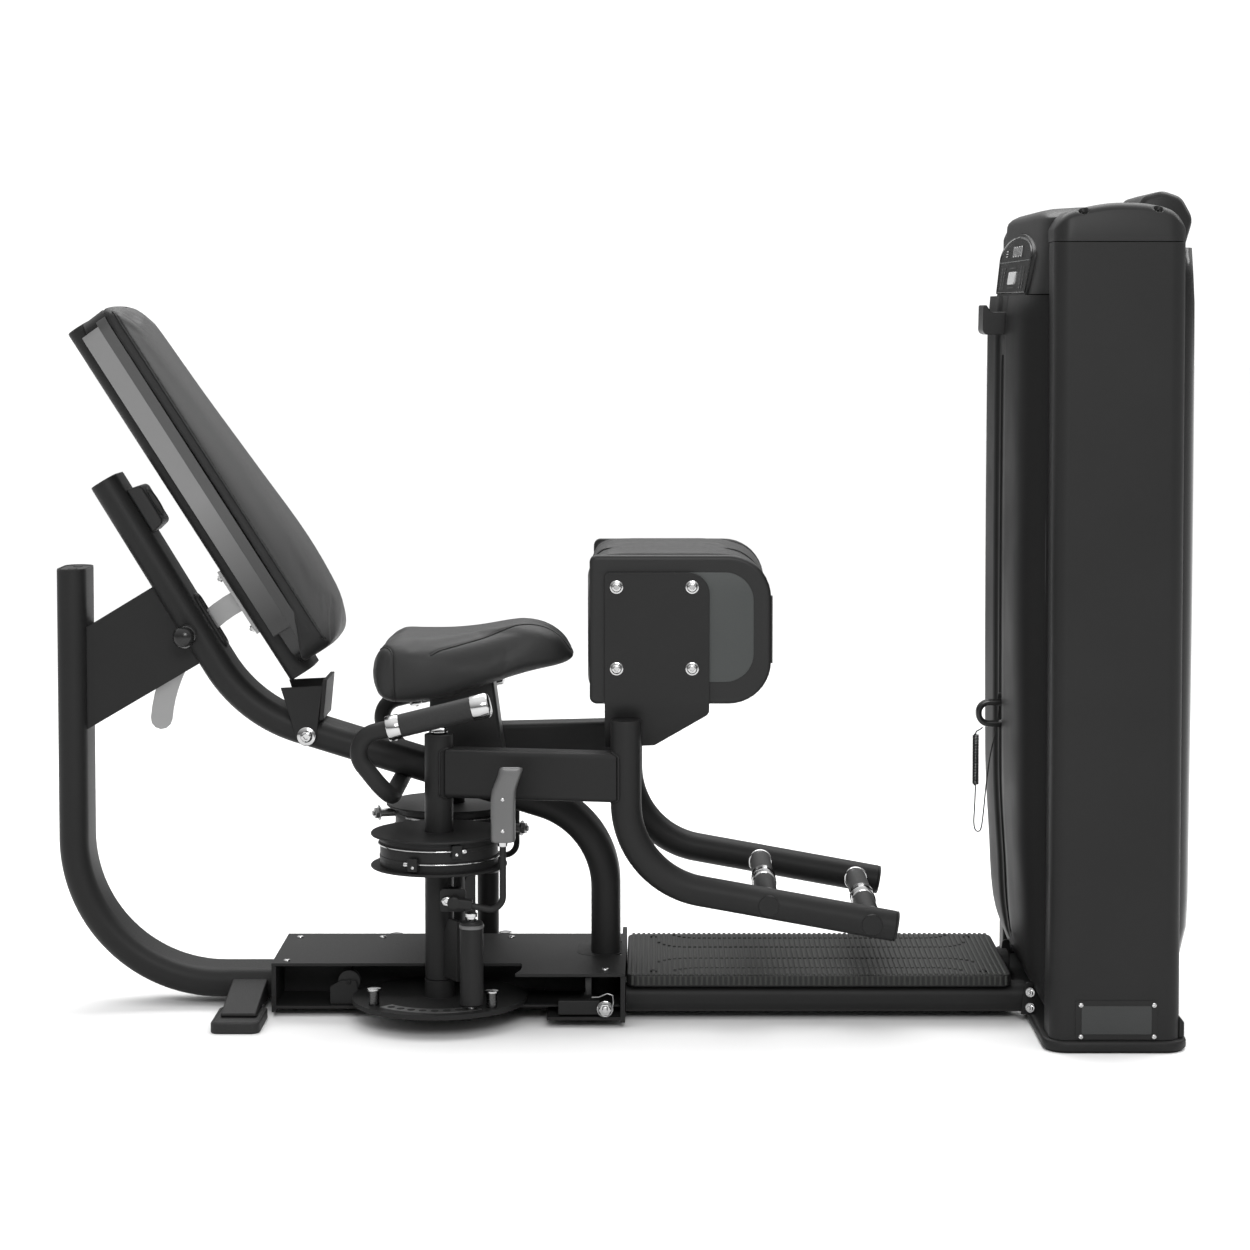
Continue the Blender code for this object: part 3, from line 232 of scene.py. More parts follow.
def sweep_rings(path, section, side=SIDE, closed=False):
    """The section's rings along the path: its v axis starts along side and is kept level."""
    path = [Vector(point) for point in path]
    across = Vector(side)
    last = len(path) - 1
    rings = []
    for i, point in enumerate(path):
        after = path[(i + 1) % len(path)] if closed else path[min(i + 1, last)]
        before = path[i - 1] if closed else path[max(i - 1, 0)]
        along = ((after - point).normalized() + (point - before).normalized()).normalized()
        across = (across - along * across.dot(along)).normalized()
        outward = along.cross(across)
        rings.append([point + outward * u + across * v for u, v in section])
    return rings


def swept(path, section, side=SIDE, closed=False):
    return lofted(sweep_rings(path, section, side, closed), closed)


def prism(outline, axis, low, high):
    """The outline extruded along X, Y or Z; it lies in the other two axes, in that order."""
    order = {"X": (2, 0, 1), "Y": (0, 2, 1), "Z": (0, 1, 2)}[axis]
    rings = []
    for level in (low, high):
        rows = [(a, b, level) for a, b in outline]
        rings.append([Vector([row[k] for k in order]) for row in rows])
    return lofted(rings)


def block(low, high):
    outline = rect(low[0], low[1], high[0], high[1])
    return prism(outline, "Z", low[2], high[2])


def turn_rings(profile, centre, axis, sides):
    turn = UP.rotation_difference(Vector(axis)).to_matrix()
    rings = []
    for radius, height in profile:
        rings.append([Vector(centre) + turn @ Vector((x, y, height)) for x, y in circle(radius, sides)])
    return rings


def turned(profile, centre, axis=(0, 0, 1), sides=40, hollow=False):
    """A solid of revolution: profile holds (radius, height) pairs, heights along the axis."""
    return lofted(turn_rings(profile, centre, axis, sides), closed=hollow)


def rod(start, end, radius, sides=32):
    start, end = Vector(start), Vector(end)
    return turned([(radius, 0), (radius, (end - start).length)], start, end - start, sides)


def grid(us, vs, at, left_out=lambda u, v: False):
    """An open sheet of quads through at(u, v)."""
    shape = bmesh.new()
    spots = [[shape.verts.new(at(u, v)) for v in vs] for u in us]
    for i in range(len(us) - 1):
        for j in range(len(vs) - 1):
            if left_out((us[i] + us[i + 1]) / 2, (vs[j] + vs[j + 1]) / 2):
                continue
            shape.faces.new((spots[i][j], spots[i + 1][j], spots[i + 1][j + 1], spots[i][j + 1]))
    return shape


def merged(*shapes):
    """Several shapes as one."""
    whole = bmesh.new()
    for shape in shapes:
        mesh = bpy.data.meshes.new("part")
        shape.to_mesh(mesh)
        shape.free()
        whole.from_mesh(mesh)
        bpy.data.meshes.remove(mesh)
    return whole


# ---------------------------------------------------------------- materials


class Nodes:
    """Short names for adding nodes to one material."""

    def __init__(self, name):
        self.paint = bpy.data.materials.new(name)
        self.paint.use_nodes = True
        self.tree = self.paint.node_tree
        self.shader = self.tree.nodes["Principled BSDF"]
        self.place = self.add("ShaderNodeTexCoord").outputs["Object"]

    def add(self, kind, **settings):
        node = self.tree.nodes.new(kind)
        for key, value in settings.items():
            setattr(node, key, value)
        return node

    def link(self, source, target):
        self.tree.links.new(source, target)

    def stretched(self, scale):
        node = self.add("ShaderNodeMapping")
        node.inputs["Scale"].default_value = scale
        self.link(self.place, node.inputs["Vector"])
        return node.outputs["Vector"]

    def noise(self, scale, detail=3.0, vector=None):
        node = self.add("ShaderNodeTexNoise")
        node.inputs["Scale"].default_value = scale
        node.inputs["Detail"].default_value = detail
        self.link(vector or self.place, node.inputs["Vector"])
        return node.outputs["Fac"]

    def cells(self, scale):
        node = self.add("ShaderNodeTexVoronoi", feature="DISTANCE_TO_EDGE")
        node.inputs["Scale"].default_value = scale
        self.link(self.place, node.inputs["Vector"])
        return node.outputs["Distance"]

    def scaled(self, source, low, high, start=0.0, stop=1.0):
        node = self.add("ShaderNodeMapRange")
        for socket, value in zip(("From Min", "From Max", "To Min", "To Max"), (start, stop, low, high)):
            node.inputs[socket].default_value = value
        self.link(source, node.inputs["Value"])
        return node.outputs["Result"]

    def tinted(self, source, dark, light):
        node = self.add("ShaderNodeMix", data_type="RGBA")
        self.link(source, node.inputs["Factor"])
        node.inputs["A"].default_value = (*dark, 1)
        node.inputs["B"].default_value = (*light, 1)
        return node.outputs["Result"]

    def along(self, start, way):
        """How far the place lies from start in the direction of way."""
        offset = self.add("ShaderNodeVectorMath", operation="SUBTRACT")
        offset.inputs[1].default_value = start
        self.link(self.place, offset.inputs[0])
        reach = self.add("ShaderNodeVectorMath", operation="DOT_PRODUCT")
        reach.inputs[1].default_value = way
        self.link(offset.outputs["Vector"], reach.inputs[0])
        return reach.outputs["Value"]

    def blended(self, source, color, other):
        node = self.add("ShaderNodeMix", data_type="RGBA")
        self.link(source, node.inputs["Factor"])
        self.link(color, node.inputs["A"])
        node.inputs["B"].default_value = (*other, 1)
        return node.outputs["Result"]

    def bump(self, source, distance, strength=1.0, over=None):
        node = self.add("ShaderNodeBump")
        node.inputs["Distance"].default_value = distance
        node.inputs["Strength"].default_value = strength
        self.link(source, node.inputs["Height"])
        if over:
            self.link(over, node.inputs["Normal"])
        return node.outputs["Normal"]

    def finish(self, color=None, roughness=None, normal=None, **constants):
        for socket, value in constants.items():
            self.shader.inputs[socket.replace("_", " ")].default_value = value
        for socket, source in (("Base Color", color), ("Roughness", roughness), ("Normal", normal)):
            if source:
                self.link(source, self.shader.inputs[socket])
        return self.paint


def grey(level):
    return (level, level, level)


def powder_coat():
    n = Nodes("powder_coat")
    grain = n.noise(650, 4)
    cloud = n.noise(7, 2)
    color = n.tinted(cloud, grey(0.0120), grey(0.0150))
    rough = n.scaled(grain, 0.42, 0.54, 0.3, 0.7)
    return n.finish(color, rough, n.bump(grain, 0.00035, 0.35), Specular_IOR_Level=0.16)


def black_plastic():
    n = Nodes("black_plastic")
    grain = n.noise(900, 3)
    cloud = n.noise(5, 2)
    color = n.tinted(cloud, grey(0.0130), grey(0.0160))
    rough = n.scaled(cloud, 0.38, 0.46, 0.3, 0.7)
    return n.finish(color, rough, n.bump(grain, 0.0002, 0.25), Specular_IOR_Level=0.20)


def cover_plastic():
    n = Nodes("cover_plastic")
    grain = n.noise(900, 3)
    color = n.tinted(n.noise(5, 2), grey(0.0120), grey(0.0145))
    rough = n.scaled(n.noise(7, 2), 0.40, 0.48, 0.3, 0.7)
    return n.finish(color, rough, n.bump(grain, 0.0002, 0.25), Specular_IOR_Level=0.02)


# The ribs' plastic is painted lighter than the black plate they are moulded with: a painted highlight on the
# rib tops.
def painted_highlight_ribs():
    n = Nodes("painted_highlight_ribs")
    color = n.tinted(n.noise(9, 2), (0.0300, 0.0315, 0.0290), (0.0370, 0.0385, 0.0360))
    rough = n.scaled(n.noise(500, 4), 0.46, 0.58, 0.3, 0.7)
    return n.finish(color, rough, n.bump(n.noise(900, 3), 0.0002, 0.25), Specular_IOR_Level=0.20)


def black_rubber():
    n = Nodes("black_rubber")
    grain = n.noise(420, 5)
    color = n.tinted(n.noise(12, 2), grey(0.0095), grey(0.0135))
    rough = n.scaled(grain, 0.55, 0.70, 0.3, 0.7)
    return n.finish(color, rough, n.bump(grain, 0.0003, 0.3), Specular_IOR_Level=0.35)


def leather(name, dark, light, roughness):
    """Upholstery vinyl: a pebbled grain about a millimetre across over slow creases."""
    n = Nodes(name)
    pebbles = n.scaled(n.cells(720), 0.0, 1.0, 0.0, 0.22)
    creases = n.noise(26, 4)
    color = n.tinted(n.noise(9, 3), grey(dark), grey(light))
    rough = n.scaled(pebbles, roughness + 0.10, roughness)
    normal = n.bump(pebbles, 0.00022, 0.40, n.bump(creases, 0.0009, 0.30))
    return n.finish(color, rough, normal, Specular_IOR_Level=0.20, Sheen_Weight=0.03, Sheen_Roughness=0.4)


def black_vinyl():
    return leather("black_vinyl", 0.0200, 0.0250, 0.42)


# A darker copy of the black vinyl for the back cushion's sides: painted shade.
def painted_shade_vinyl():
    return leather("painted_shade_vinyl", 0.0090, 0.0120, 0.40)


# A lighter copy of the black vinyl for the back cushion's face: painted light and sheen.
def painted_light_vinyl():
    return leather("painted_light_vinyl", 0.0330, 0.0400, 0.42)


def grey_shell():
    n = Nodes("grey_shell")
    grain = n.noise(800, 3)
    light = n.tinted(n.noise(5, 2), grey(0.155), grey(0.175))
    # the pale grey is blended towards near black down the pad: painted shade, darker lower down
    down = n.along(BACK_TOP, BACK_DOWN)
    painted_shade_fade = n.scaled(down, 0.0, 1.0, 0.36, 0.60)
    color = n.blended(painted_shade_fade, light, grey(0.016))
    rough = n.scaled(grain, 0.36, 0.46, 0.3, 0.7)
    return n.finish(color, rough, n.bump(grain, 0.0002, 0.25), Specular_IOR_Level=0.45)


def band_grey():
    n = Nodes("band_grey")
    grain = n.noise(800, 3)
    dark = n.tinted(n.noise(5, 2), grey(0.040), grey(0.050))
    # the band's dark grey is blended towards near black down the pad: painted shade, darker lower down
    painted_shade_fade = n.scaled(n.along(BACK_TOP, BACK_DOWN), 0.0, 1.0, 0.40, 0.62)
    rough = n.scaled(grain, 0.36, 0.46, 0.3, 0.7)
    return n.finish(n.blended(painted_shade_fade, dark, grey(0.012)), rough, n.bump(grain, 0.0002, 0.25))


def metal(name, level, low, high, brushed=(60, 60, 60)):
    n = Nodes(name)
    streaks = n.noise(1.0, 3, n.stretched(brushed))
    rough = n.scaled(streaks, low, high, 0.3, 0.7)
    color = n.tinted(streaks, grey(level * 0.9), grey(level))
    return n.finish(color, rough, n.bump(streaks, 0.00004, 0.2), Metallic=1.0)


def chrome():
    return metal("chrome", 0.50, 0.10, 0.18)


def dark_steel():
    return metal("dark_steel", 0.085, 0.22, 0.32, (40, 400, 400))


def bare_steel():
    return metal("bare_steel", 0.30, 0.34, 0.46, (40, 400, 400))


def weight_iron():
    n = Nodes("weight_iron")
    grain = n.noise(300, 5)
    color = n.tinted(n.noise(20, 3), grey(0.014), grey(0.024))
    rough = n.scaled(grain, 0.45, 0.65, 0.3, 0.7)
    return n.finish(color, rough, n.bump(grain, 0.0005, 0.4))


def silver_plastic():
    n = Nodes("silver_plastic")
    flakes = n.noise(1500, 2)
    color = n.tinted(flakes, grey(0.085), grey(0.125))
    rough = n.scaled(n.noise(8, 2), 0.30, 0.38, 0.3, 0.7)
    return n.finish(color, rough, n.bump(flakes, 0.0001, 0.2), Metallic=0.35)


def glass():
    n = Nodes("display_glass")
    rough = n.scaled(n.noise(14, 2), 0.25, 0.32, 0.3, 0.7)
    color = n.tinted(n.noise(6, 2), grey(0.006), grey(0.009))
    return n.finish(color, rough, Specular_IOR_Level=0.10)


def gloss_plastic():
    n = Nodes("gloss_plastic")
    cloud = n.noise(6, 2)
    color = n.tinted(cloud, grey(0.0105), grey(0.0130))
    rough = n.scaled(cloud, 0.16, 0.22, 0.3, 0.7)
    return n.finish(color, rough, n.bump(n.noise(300, 2), 0.0001, 0.1), Specular_IOR_Level=0.32)


def panel(name, dark, light, low, high):
    """The fine-grained, faintly green plastic of the inset panels."""
    n = Nodes(name)
    grain = n.noise(500, 4)
    color = n.tinted(n.noise(9, 2), dark, light)
    return n.finish(color, n.scaled(grain, low, high, 0.3, 0.7), n.bump(grain, 0.0003, 0.3))


def panel_grey():
    return panel("panel_grey", (0.024, 0.0275, 0.0265), (0.029, 0.0325, 0.0315), 0.50, 0.62)


def panel_dark():
    return panel("panel_dark", (0.0125, 0.0140, 0.0138), (0.0150, 0.0165, 0.0162), 0.45, 0.58)


def legend():
    n = Nodes("display_legend")
    color = n.tinted(n.noise(90, 2), grey(0.42), grey(0.62))
    return n.finish(color, n.scaled(n.noise(40, 2), 0.4, 0.5))


def floor_paint():
    n = Nodes("floor")
    color = n.tinted(n.noise(2, 2), grey(0.86), grey(0.88))
    return n.finish(color, n.scaled(n.noise(30, 2), 0.75, 0.85), Specular_IOR_Level=0.2)


PAINTS = (
    powder_coat,
    black_plastic,
    cover_plastic,
    painted_highlight_ribs,
    black_rubber,
    black_vinyl,
    painted_shade_vinyl,
    painted_light_vinyl,
    grey_shell,
    band_grey,
    chrome,
    bare_steel,
    dark_steel,
    weight_iron,
    silver_plastic,
    glass,
    gloss_plastic,
    panel_grey,
    panel_dark,
    legend,
    floor_paint,
)
MAKERS = {make.__name__: make for make in PAINTS}
made_paints = {}


def paint(name):
    if name not in made_paints:
        made_paints[name] = MAKERS[name]()
    return made_paints[name]


# ---------------------------------------------------------------- pieces


def plain_object(name, shape, look):
    bmesh.ops.recalc_face_normals(shape, faces=shape.faces)
    mesh = bpy.data.meshes.new(name)
    shape.to_mesh(mesh)
    shape.free()
    mesh.shade_smooth()
    mesh.materials.append(paint(look))
    obj = bpy.data.objects.new(name, mesh)
    bpy.context.scene.collection.objects.link(obj)
    return obj


def round_edges(obj, width, segments=3, angle=38):
    step = obj.modifiers.new("edges", "BEVEL")
    step.width = width
    step.segments = segments
    step.limit_method = "ANGLE"
    step.angle_limit = math.radians(angle)
    step.harden_normals = True
    step.miter_outer = "MITER_ARC"
    return obj


def piece(name, shape, slot, body, stands_for=(), look=None, edge=0.0, segments=3):
    """A finished piece: it rides on the body and may stand for CAD nodes."""
    obj = plain_object(name, shape, look or slot)
    if edge:
        round_edges(obj, edge, segments)
    else:
        obj.data.set_sharp_from_angle(angle=math.radians(42))
    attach(obj, body)
    if stands_for:
        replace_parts(obj, *stands_for)
    return obj


def applied(obj):
    bpy.context.view_layer.update()
    graph = bpy.context.evaluated_depsgraph_get()
    mesh = bpy.data.meshes.new_from_object(obj.evaluated_get(graph))
    obj.modifiers.clear()
    obj.data = mesh
    return obj


def carved(obj, *shapes):
    """The piece with each shape cut away; its edge rounding comes after the cuts."""
    rounding = [m for m in obj.modifiers if m.type == "BEVEL"]
    sizes = [(m.width, m.segments) for m in rounding]
    for m in rounding:
        obj.modifiers.remove(m)
    tools = [plain_object("tool", shape, "powder_coat") for shape in shapes]
    for tool in tools:
        step = obj.modifiers.new("cut", "BOOLEAN")
        step.operation = "DIFFERENCE"
        step.object = tool
    applied(obj)
    for tool in tools:
        bpy.data.objects.remove(tool, do_unlink=True)
    for width, segments in sizes:
        round_edges(obj, width, segments)
    return obj


def on_left(obj):
    """The left-hand twin of a right-hand piece, riding on the twin body."""
    twin = obj.copy()
    twin.data = obj.data.copy()
    twin.data.transform(Matrix.Scale(-1, 4, SIDE))
    twin.data.flip_normals()
    twin.name = obj.name.replace("right", "left")
    bpy.context.scene.collection.objects.link(twin)
    stands_for = [node.replace("right", "left") for node in obj.get("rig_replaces", [])]
    if stands_for:
        del twin["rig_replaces"]
        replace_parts(twin, *stands_for)
    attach(twin, obj["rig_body"].replace("right", "left"))
    return twin


def both(obj):
    return obj, on_left(obj)


def pair(*args, **looks):
    """A right-hand piece and its mirror image."""
    return both(piece(*args, **looks))


def carry_over(frame):
    """Gives each CAD node its slot's material, one welded smooth skin and softened edges."""
    slots = {row["node"]: row["material_slot"] for row in frame["record"]["subparts"]}
    for name, node in frame["nodes"].items():
        mesh = node.data
        mesh.materials.clear()
        mesh.materials.append(paint(slots[name]))
        for layer in ("custom_normal", "sharp_edge"):
            if layer in mesh.attributes:
                mesh.attributes.remove(mesh.attributes[layer])
        mesh.shade_smooth()
        weld = node.modifiers.new("weld", "WELD")
        weld.merge_threshold = 0.00002
        round_edges(node, 0.0009, 2, 30)


# ---------------------------------------------------------------- small hardware


def hexagon(radius):
    """A hexagon of that radius over its flats, with as many points as the bolts' circles have."""
    ring = []
    for k in range(BOLT_SIDES):
        turn = 2 * math.pi * k / BOLT_SIDES
        near = (turn % (math.pi / 3)) - math.pi / 6
        reach = radius / math.cos(near)
        ring.append((reach * math.cos(turn), reach * math.sin(turn)))
    return ring


def stack_of(spot, axis, rows):
    """Rings at heights along the axis: rows hold (outline, height)."""
    turn = UP.rotation_difference(Vector(axis)).to_matrix()
    return [[Vector(spot) + turn @ Vector((x, y, height)) for x, y in outline] for outline, height in rows]


def button_screw(spot, axis, radius):
    """A domed screw with a hexagonal socket."""
    dome = [(1.0, 0.0), (1.0, 0.12), (0.96, 0.26), (0.84, 0.42), (0.66, 0.52), (0.50, 0.56)]
    rows = [(circle(radius * r, BOLT_SIDES), radius * h) for r, h in dome]
    rows += [(hexagon(radius * 0.40), radius * 0.55), (hexagon(radius * 0.38), radius * 0.16)]
    return lofted(stack_of(spot, axis, rows))


def hex_bolt(spot, axis, radius):
    """A hexagonal head on its washer, with the thread's end showing."""
    washer = [
        (circle(radius * r, BOLT_SIDES), radius * h) for r, h in (
            (1.25, 0), (1.30, 0.05), (1.30, 0.13), (1.2, 0.18)
        )
    ]
    head = [(0.80, 0.18), (0.88, 0.24), (0.88, 0.78), (0.80, 0.86)]
    rows = washer + [(hexagon(radius * r), radius * h) for r, h in head]
    rows += [
        (circle(radius * r, BOLT_SIDES), radius * h)
        for r, h in ((0.5, 0.87), (0.46, 0.90), (0.46, 1.2), (0.38, 1.28))
    ]
    return lofted(stack_of(spot, axis, rows))


def bead(path, radius, closed=True, side=SIDE, sides=10):
    """A thin round bead along a path, as for a weld, a piped edge or a wire."""
    return swept(path, circle(radius, sides), side, closed)


def loop_around(spot, across, along, half_wide, half_long):
    """A closed racetrack in the plane of two directions."""
    round_off = min(half_wide, half_long) * 0.98
    corners = rect(-half_wide, -half_long, half_wide, half_long)
    outline = rounded(corners, round_off, 10)
    return [Vector(spot) + Vector(across) * a + Vector(along) * b for a, b in outline]


def tube_cap(name, spot, axis, across, thick, wide, radius, body):
    """A pressed-in plug: a rim, a shallow dish and two small raised pads."""
    axis, across = Vector(axis).normalized(), Vector(across)
    other = axis.cross(across)
    rows = [
        (0.0012, -0.004),
        (0.0004, -0.0005),
        (0.0002, 0.0018),
        (0.0012, 0.0030),
        (0.0034, 0.0032),
        (0.0046, 0.0016),
    ]
    rows.append((0.007, 0.0014))
    rings = []
    for inset, height in rows:
        outline = oval(thick - 2 * inset, wide - 2 * inset, radius - inset)
        rings.append([Vector(spot) + other * u + across * v + axis * height for u, v in outline])
    shape = lofted(rings)
    pads = []
    for sign in (-1, 1):
        middle = Vector(spot) + across * (sign * wide * 0.22)
        track = oval(thick * 0.30, wide * 0.20, thick * 0.12, 4)
        pads.append(
            lofted([
                    [middle + other * u * k + across * v * k + axis * h for u, v in track]
                    for k, h in ((1.0, 0.0010), (0.96, 0.0024), (0.80, 0.0028))
                ],
            )
        )
    return piece(name, merged(shape, *pads), "black_plastic", body)


# ---------------------------------------------------------------- stage


def make_stage():
    scene = bpy.context.scene
    lens = bpy.data.cameras.new("camera")
    lens.lens, lens.sensor_width = LENS, SENSOR
    lens.shift_x, lens.shift_y = SHIFT
    lens.clip_end = 200
    camera = bpy.data.objects.new("camera", lens)
    camera.location = CAMERA_AT
    camera.rotation_euler = (math.radians(90) - CAMERA_DOWN, 0, 0)
    scene.collection.objects.link(camera)
    scene.camera = camera
    scene.view_settings.view_transform = "Standard"

    spread = 60
    floor = plain_object(
        "floor", grid((-spread, spread), (-spread, spread), lambda u, v: Vector((u, v, 0))), "floor_paint"
    )

    def lamp(name, spot, aim, size, power):
        light = bpy.data.lights.new(name, "AREA")
        light.shape = "RECTANGLE"
        light.size, light.size_y = size
        light.energy = power
        obj = bpy.data.objects.new(name, light)
        obj.location = spot
        obj.rotation_euler = (Vector(aim) - Vector(spot)).to_track_quat("-Z", "Y").to_euler()
        scene.collection.objects.link(obj)

    lamp("key", (0.3, -4.6, 2.6), (0, 0, 0.6), (1.6, 1.2), 88)
    lamp("top", (0.6, 1.5, 3.9), (0, 0, 0), (5.2, 3.0), 165)
    lamp("rim", (3.6, 0.9, 3.0), (0.0, 0, 0.6), (1.2, 1.2), 20)
    make_sky(scene)


def make_sky(scene):
    """A soft studio dome, brightest overhead; the camera itself sees a white room."""
    world = bpy.data.worlds.new("studio")
    scene.world = world
    world.use_nodes = True
    tree = world.node_tree
    tree.nodes.clear()
    add = tree.nodes.new
    place = add("ShaderNodeTexCoord")
    split = add("ShaderNodeSeparateXYZ")
    tree.links.new(place.outputs["Generated"], split.inputs["Vector"])
    height = add("ShaderNodeMapRange")
    for socket, value in (("From Min", 0.0), ("From Max", 0.9), ("To Min", 0.09), ("To Max", 1.6)):
        height.inputs[socket].default_value = value
    tree.links.new(split.outputs["Z"], height.inputs["Value"])
    dome, white = add("ShaderNodeBackground"), add("ShaderNodeBackground")
    tree.links.new(height.outputs["Result"], dome.inputs["Strength"])
    white.inputs["Strength"].default_value = 1.15
    for background in (dome, white):
        background.inputs["Color"].default_value = (1, 1, 1, 1)
    seen, mix, out = add("ShaderNodeLightPath"), add("ShaderNodeMixShader"), add("ShaderNodeOutputWorld")
    tree.links.new(seen.outputs["Is Camera Ray"], mix.inputs["Fac"])
    tree.links.new(dome.outputs["Background"], mix.inputs[1])
    tree.links.new(white.outputs["Background"], mix.inputs[2])
    tree.links.new(mix.outputs["Shader"], out.inputs["Surface"])


# ---------------------------------------------------------------- the selector pin's lead


def smooth_route(points, count):
    """A Catmull-Rom curve through the points, read at count steps for each stretch."""
    points = [Vector(point) for point in points]
    padded = [2 * points[0] - points[1], *points, 2 * points[-1] - points[-2]]
    route = []
    for p0, p1, p2, p3 in zip(padded, padded[1:], padded[2:], padded[3:]):
        for k in range(count):
            t = k / count
            square = (2 * p0 - 5 * p1 + 4 * p2 - p3) * t**2
            route.append(0.5 * (2 * p1 + (p2 - p0) * t + square + (3 * p1 - p0 - 3 * p2 + p3) * t**3))
    return route + [points[-1]]


def make_tether():
    """One lead from the pin's loop to the stack: a curly middle and two plain ends."""
    x, top, low = 0.6150, 0.466, 0.376
    wire, coil_r, turns = 0.0012, 0.0047, 34
    lead = [(0.6270, 0, 0.4770), (0.6235, 0, 0.4740), (0.6190, 0, 0.4715), (0.6160, 0, 0.4695)]
    tail = [
        (0.6145, 0, 0.360),
        (0.6135, 0, 0.335),
        (0.6125, 0, 0.312),
        (0.6150, 0, 0.299),
        (0.6210, 0, 0.296),
        (0.6255, 0, 0.303),
        (0.6290, 0, 0.330),
        (0.6345, 0.0058, 0.380),
        (0.6420, 0.0105, 0.430),
        (0.6500, 0.0105, 0.465),
        (0.6545, 0.0108, 0.490),
        (0.6565, 0.0108, 0.512),
        (0.6545, 0.0085, 0.528),
        (0.6550, 0.0030, 0.535),
        (0.6580, 0.0, 0.536),
        (0.6604, 0.0, 0.536),
    ]
    curl = []
    for k in range(turns * 12 + 1):
        share = k / (turns * 12)
        ease = min(1.0, share * turns, (1 - share) * turns)
        turn = 2 * math.pi * share * turns
        spot = Vector((math.cos(turn), math.sin(turn), 0)) * coil_r * ease
        curl.append(Vector((x, 0, top + (low - top) * share)) + spot)
    route = smooth_route([*lead, curl[0]], 4)[:-1] + curl + smooth_route([curl[-1], *tail], 4)[1:]
    length = sum((b - a).length for a, b in zip(route, route[1:]))
    curve = bpy.data.curves.new("tether", "CURVE")
    curve.dimensions = "3D"
    curve.bevel_depth = wire
    curve.bevel_resolution = 3
    curve.use_fill_caps = True
    spline = curve.splines.new("POLY")
    spline.points.add(len(route) - 1)
    for spot, point in zip(spline.points, route):
        spot.co = (*point, 1)
    curve.materials.append(paint("black_rubber"))
    obj = bpy.data.objects.new("tether", curve)
    bpy.context.scene.collection.objects.link(obj)
    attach(obj, "weight_head")
    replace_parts(obj, "tether_lead", "tether_coil", "tether_tail")
    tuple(route[0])


# ---------------------------------------------------------------- fixed frame


def make_rear_frame():
    low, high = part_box("rear_frame_tube")
    corners = [(REAR_X, 0, high.z - 0.003), (REAR_X, 0, BEAM_Z), (high.x, 0, BEAM_Z)]
    section = oval(TUBE_THICK, TUBE_WIDE, TUBE_ROUND)
    path = bent(corners, [REAR_BEND])
    piece("rear_tube", swept(path, section), "powder_coat", "frame", ["rear_frame_tube"])
    tube_cap("rear_tube_cap", corners[0], UP, SIDE, TUBE_THICK, TUBE_WIDE, TUBE_ROUND, "frame")

    back, front = -0.664, -0.604
    legs = [
        (0.204, 0.0188),
        (0.204, 0.0250),
        (0.060, 0.0500),
        (-0.060, 0.0500),
        (-0.204, 0.0250),
        (-0.204, 0.0188),
    ]
    legs += [(-0.118, 0.0188), (-0.105, 0.0140), (0.105, 0.0140), (0.118, 0.0188)]
    piece("rear_legs", prism(legs, "X", back, front), "powder_coat", "frame", edge=0.006, segments=4)
    low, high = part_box("rear_foot_pad_right")
    corners = inset_box(low, high)
    outline = rounded(corners, 0.014, 8)
    foot = prism(outline, "Z", 0.0, high.z)
    lip = [Vector((x, y, high.z - 0.0008)) for x, y in rounded(inset_box(low, high, 0.0045), 0.010, 8)]
    foot = piece("foot_pad_right", foot, "black_rubber", "frame", ["rear_foot_pad_right"], edge=0.003)
    both(foot)
    pair("foot_pad_rim_right", bead(lip, 0.0016, side=UP), "black_rubber", "frame")


def recline_slot():
    """The curved space that the adjustment bar sweeps."""
    half = ARC_WIDE / 2 + 0.002
    turns = [math.radians(a) for a in spaced(100, 200, 30)]
    outline = [((ARC_R - half) * math.cos(a), (ARC_R - half) * math.sin(a)) for a in turns]
    outline += [((ARC_R + half) * math.cos(a), (ARC_R + half) * math.sin(a)) for a in turns[::-1]]
    return prism([(PIVOT.x + x, PIVOT.z + z) for x, z in outline], "Y", -0.006, 0.006)


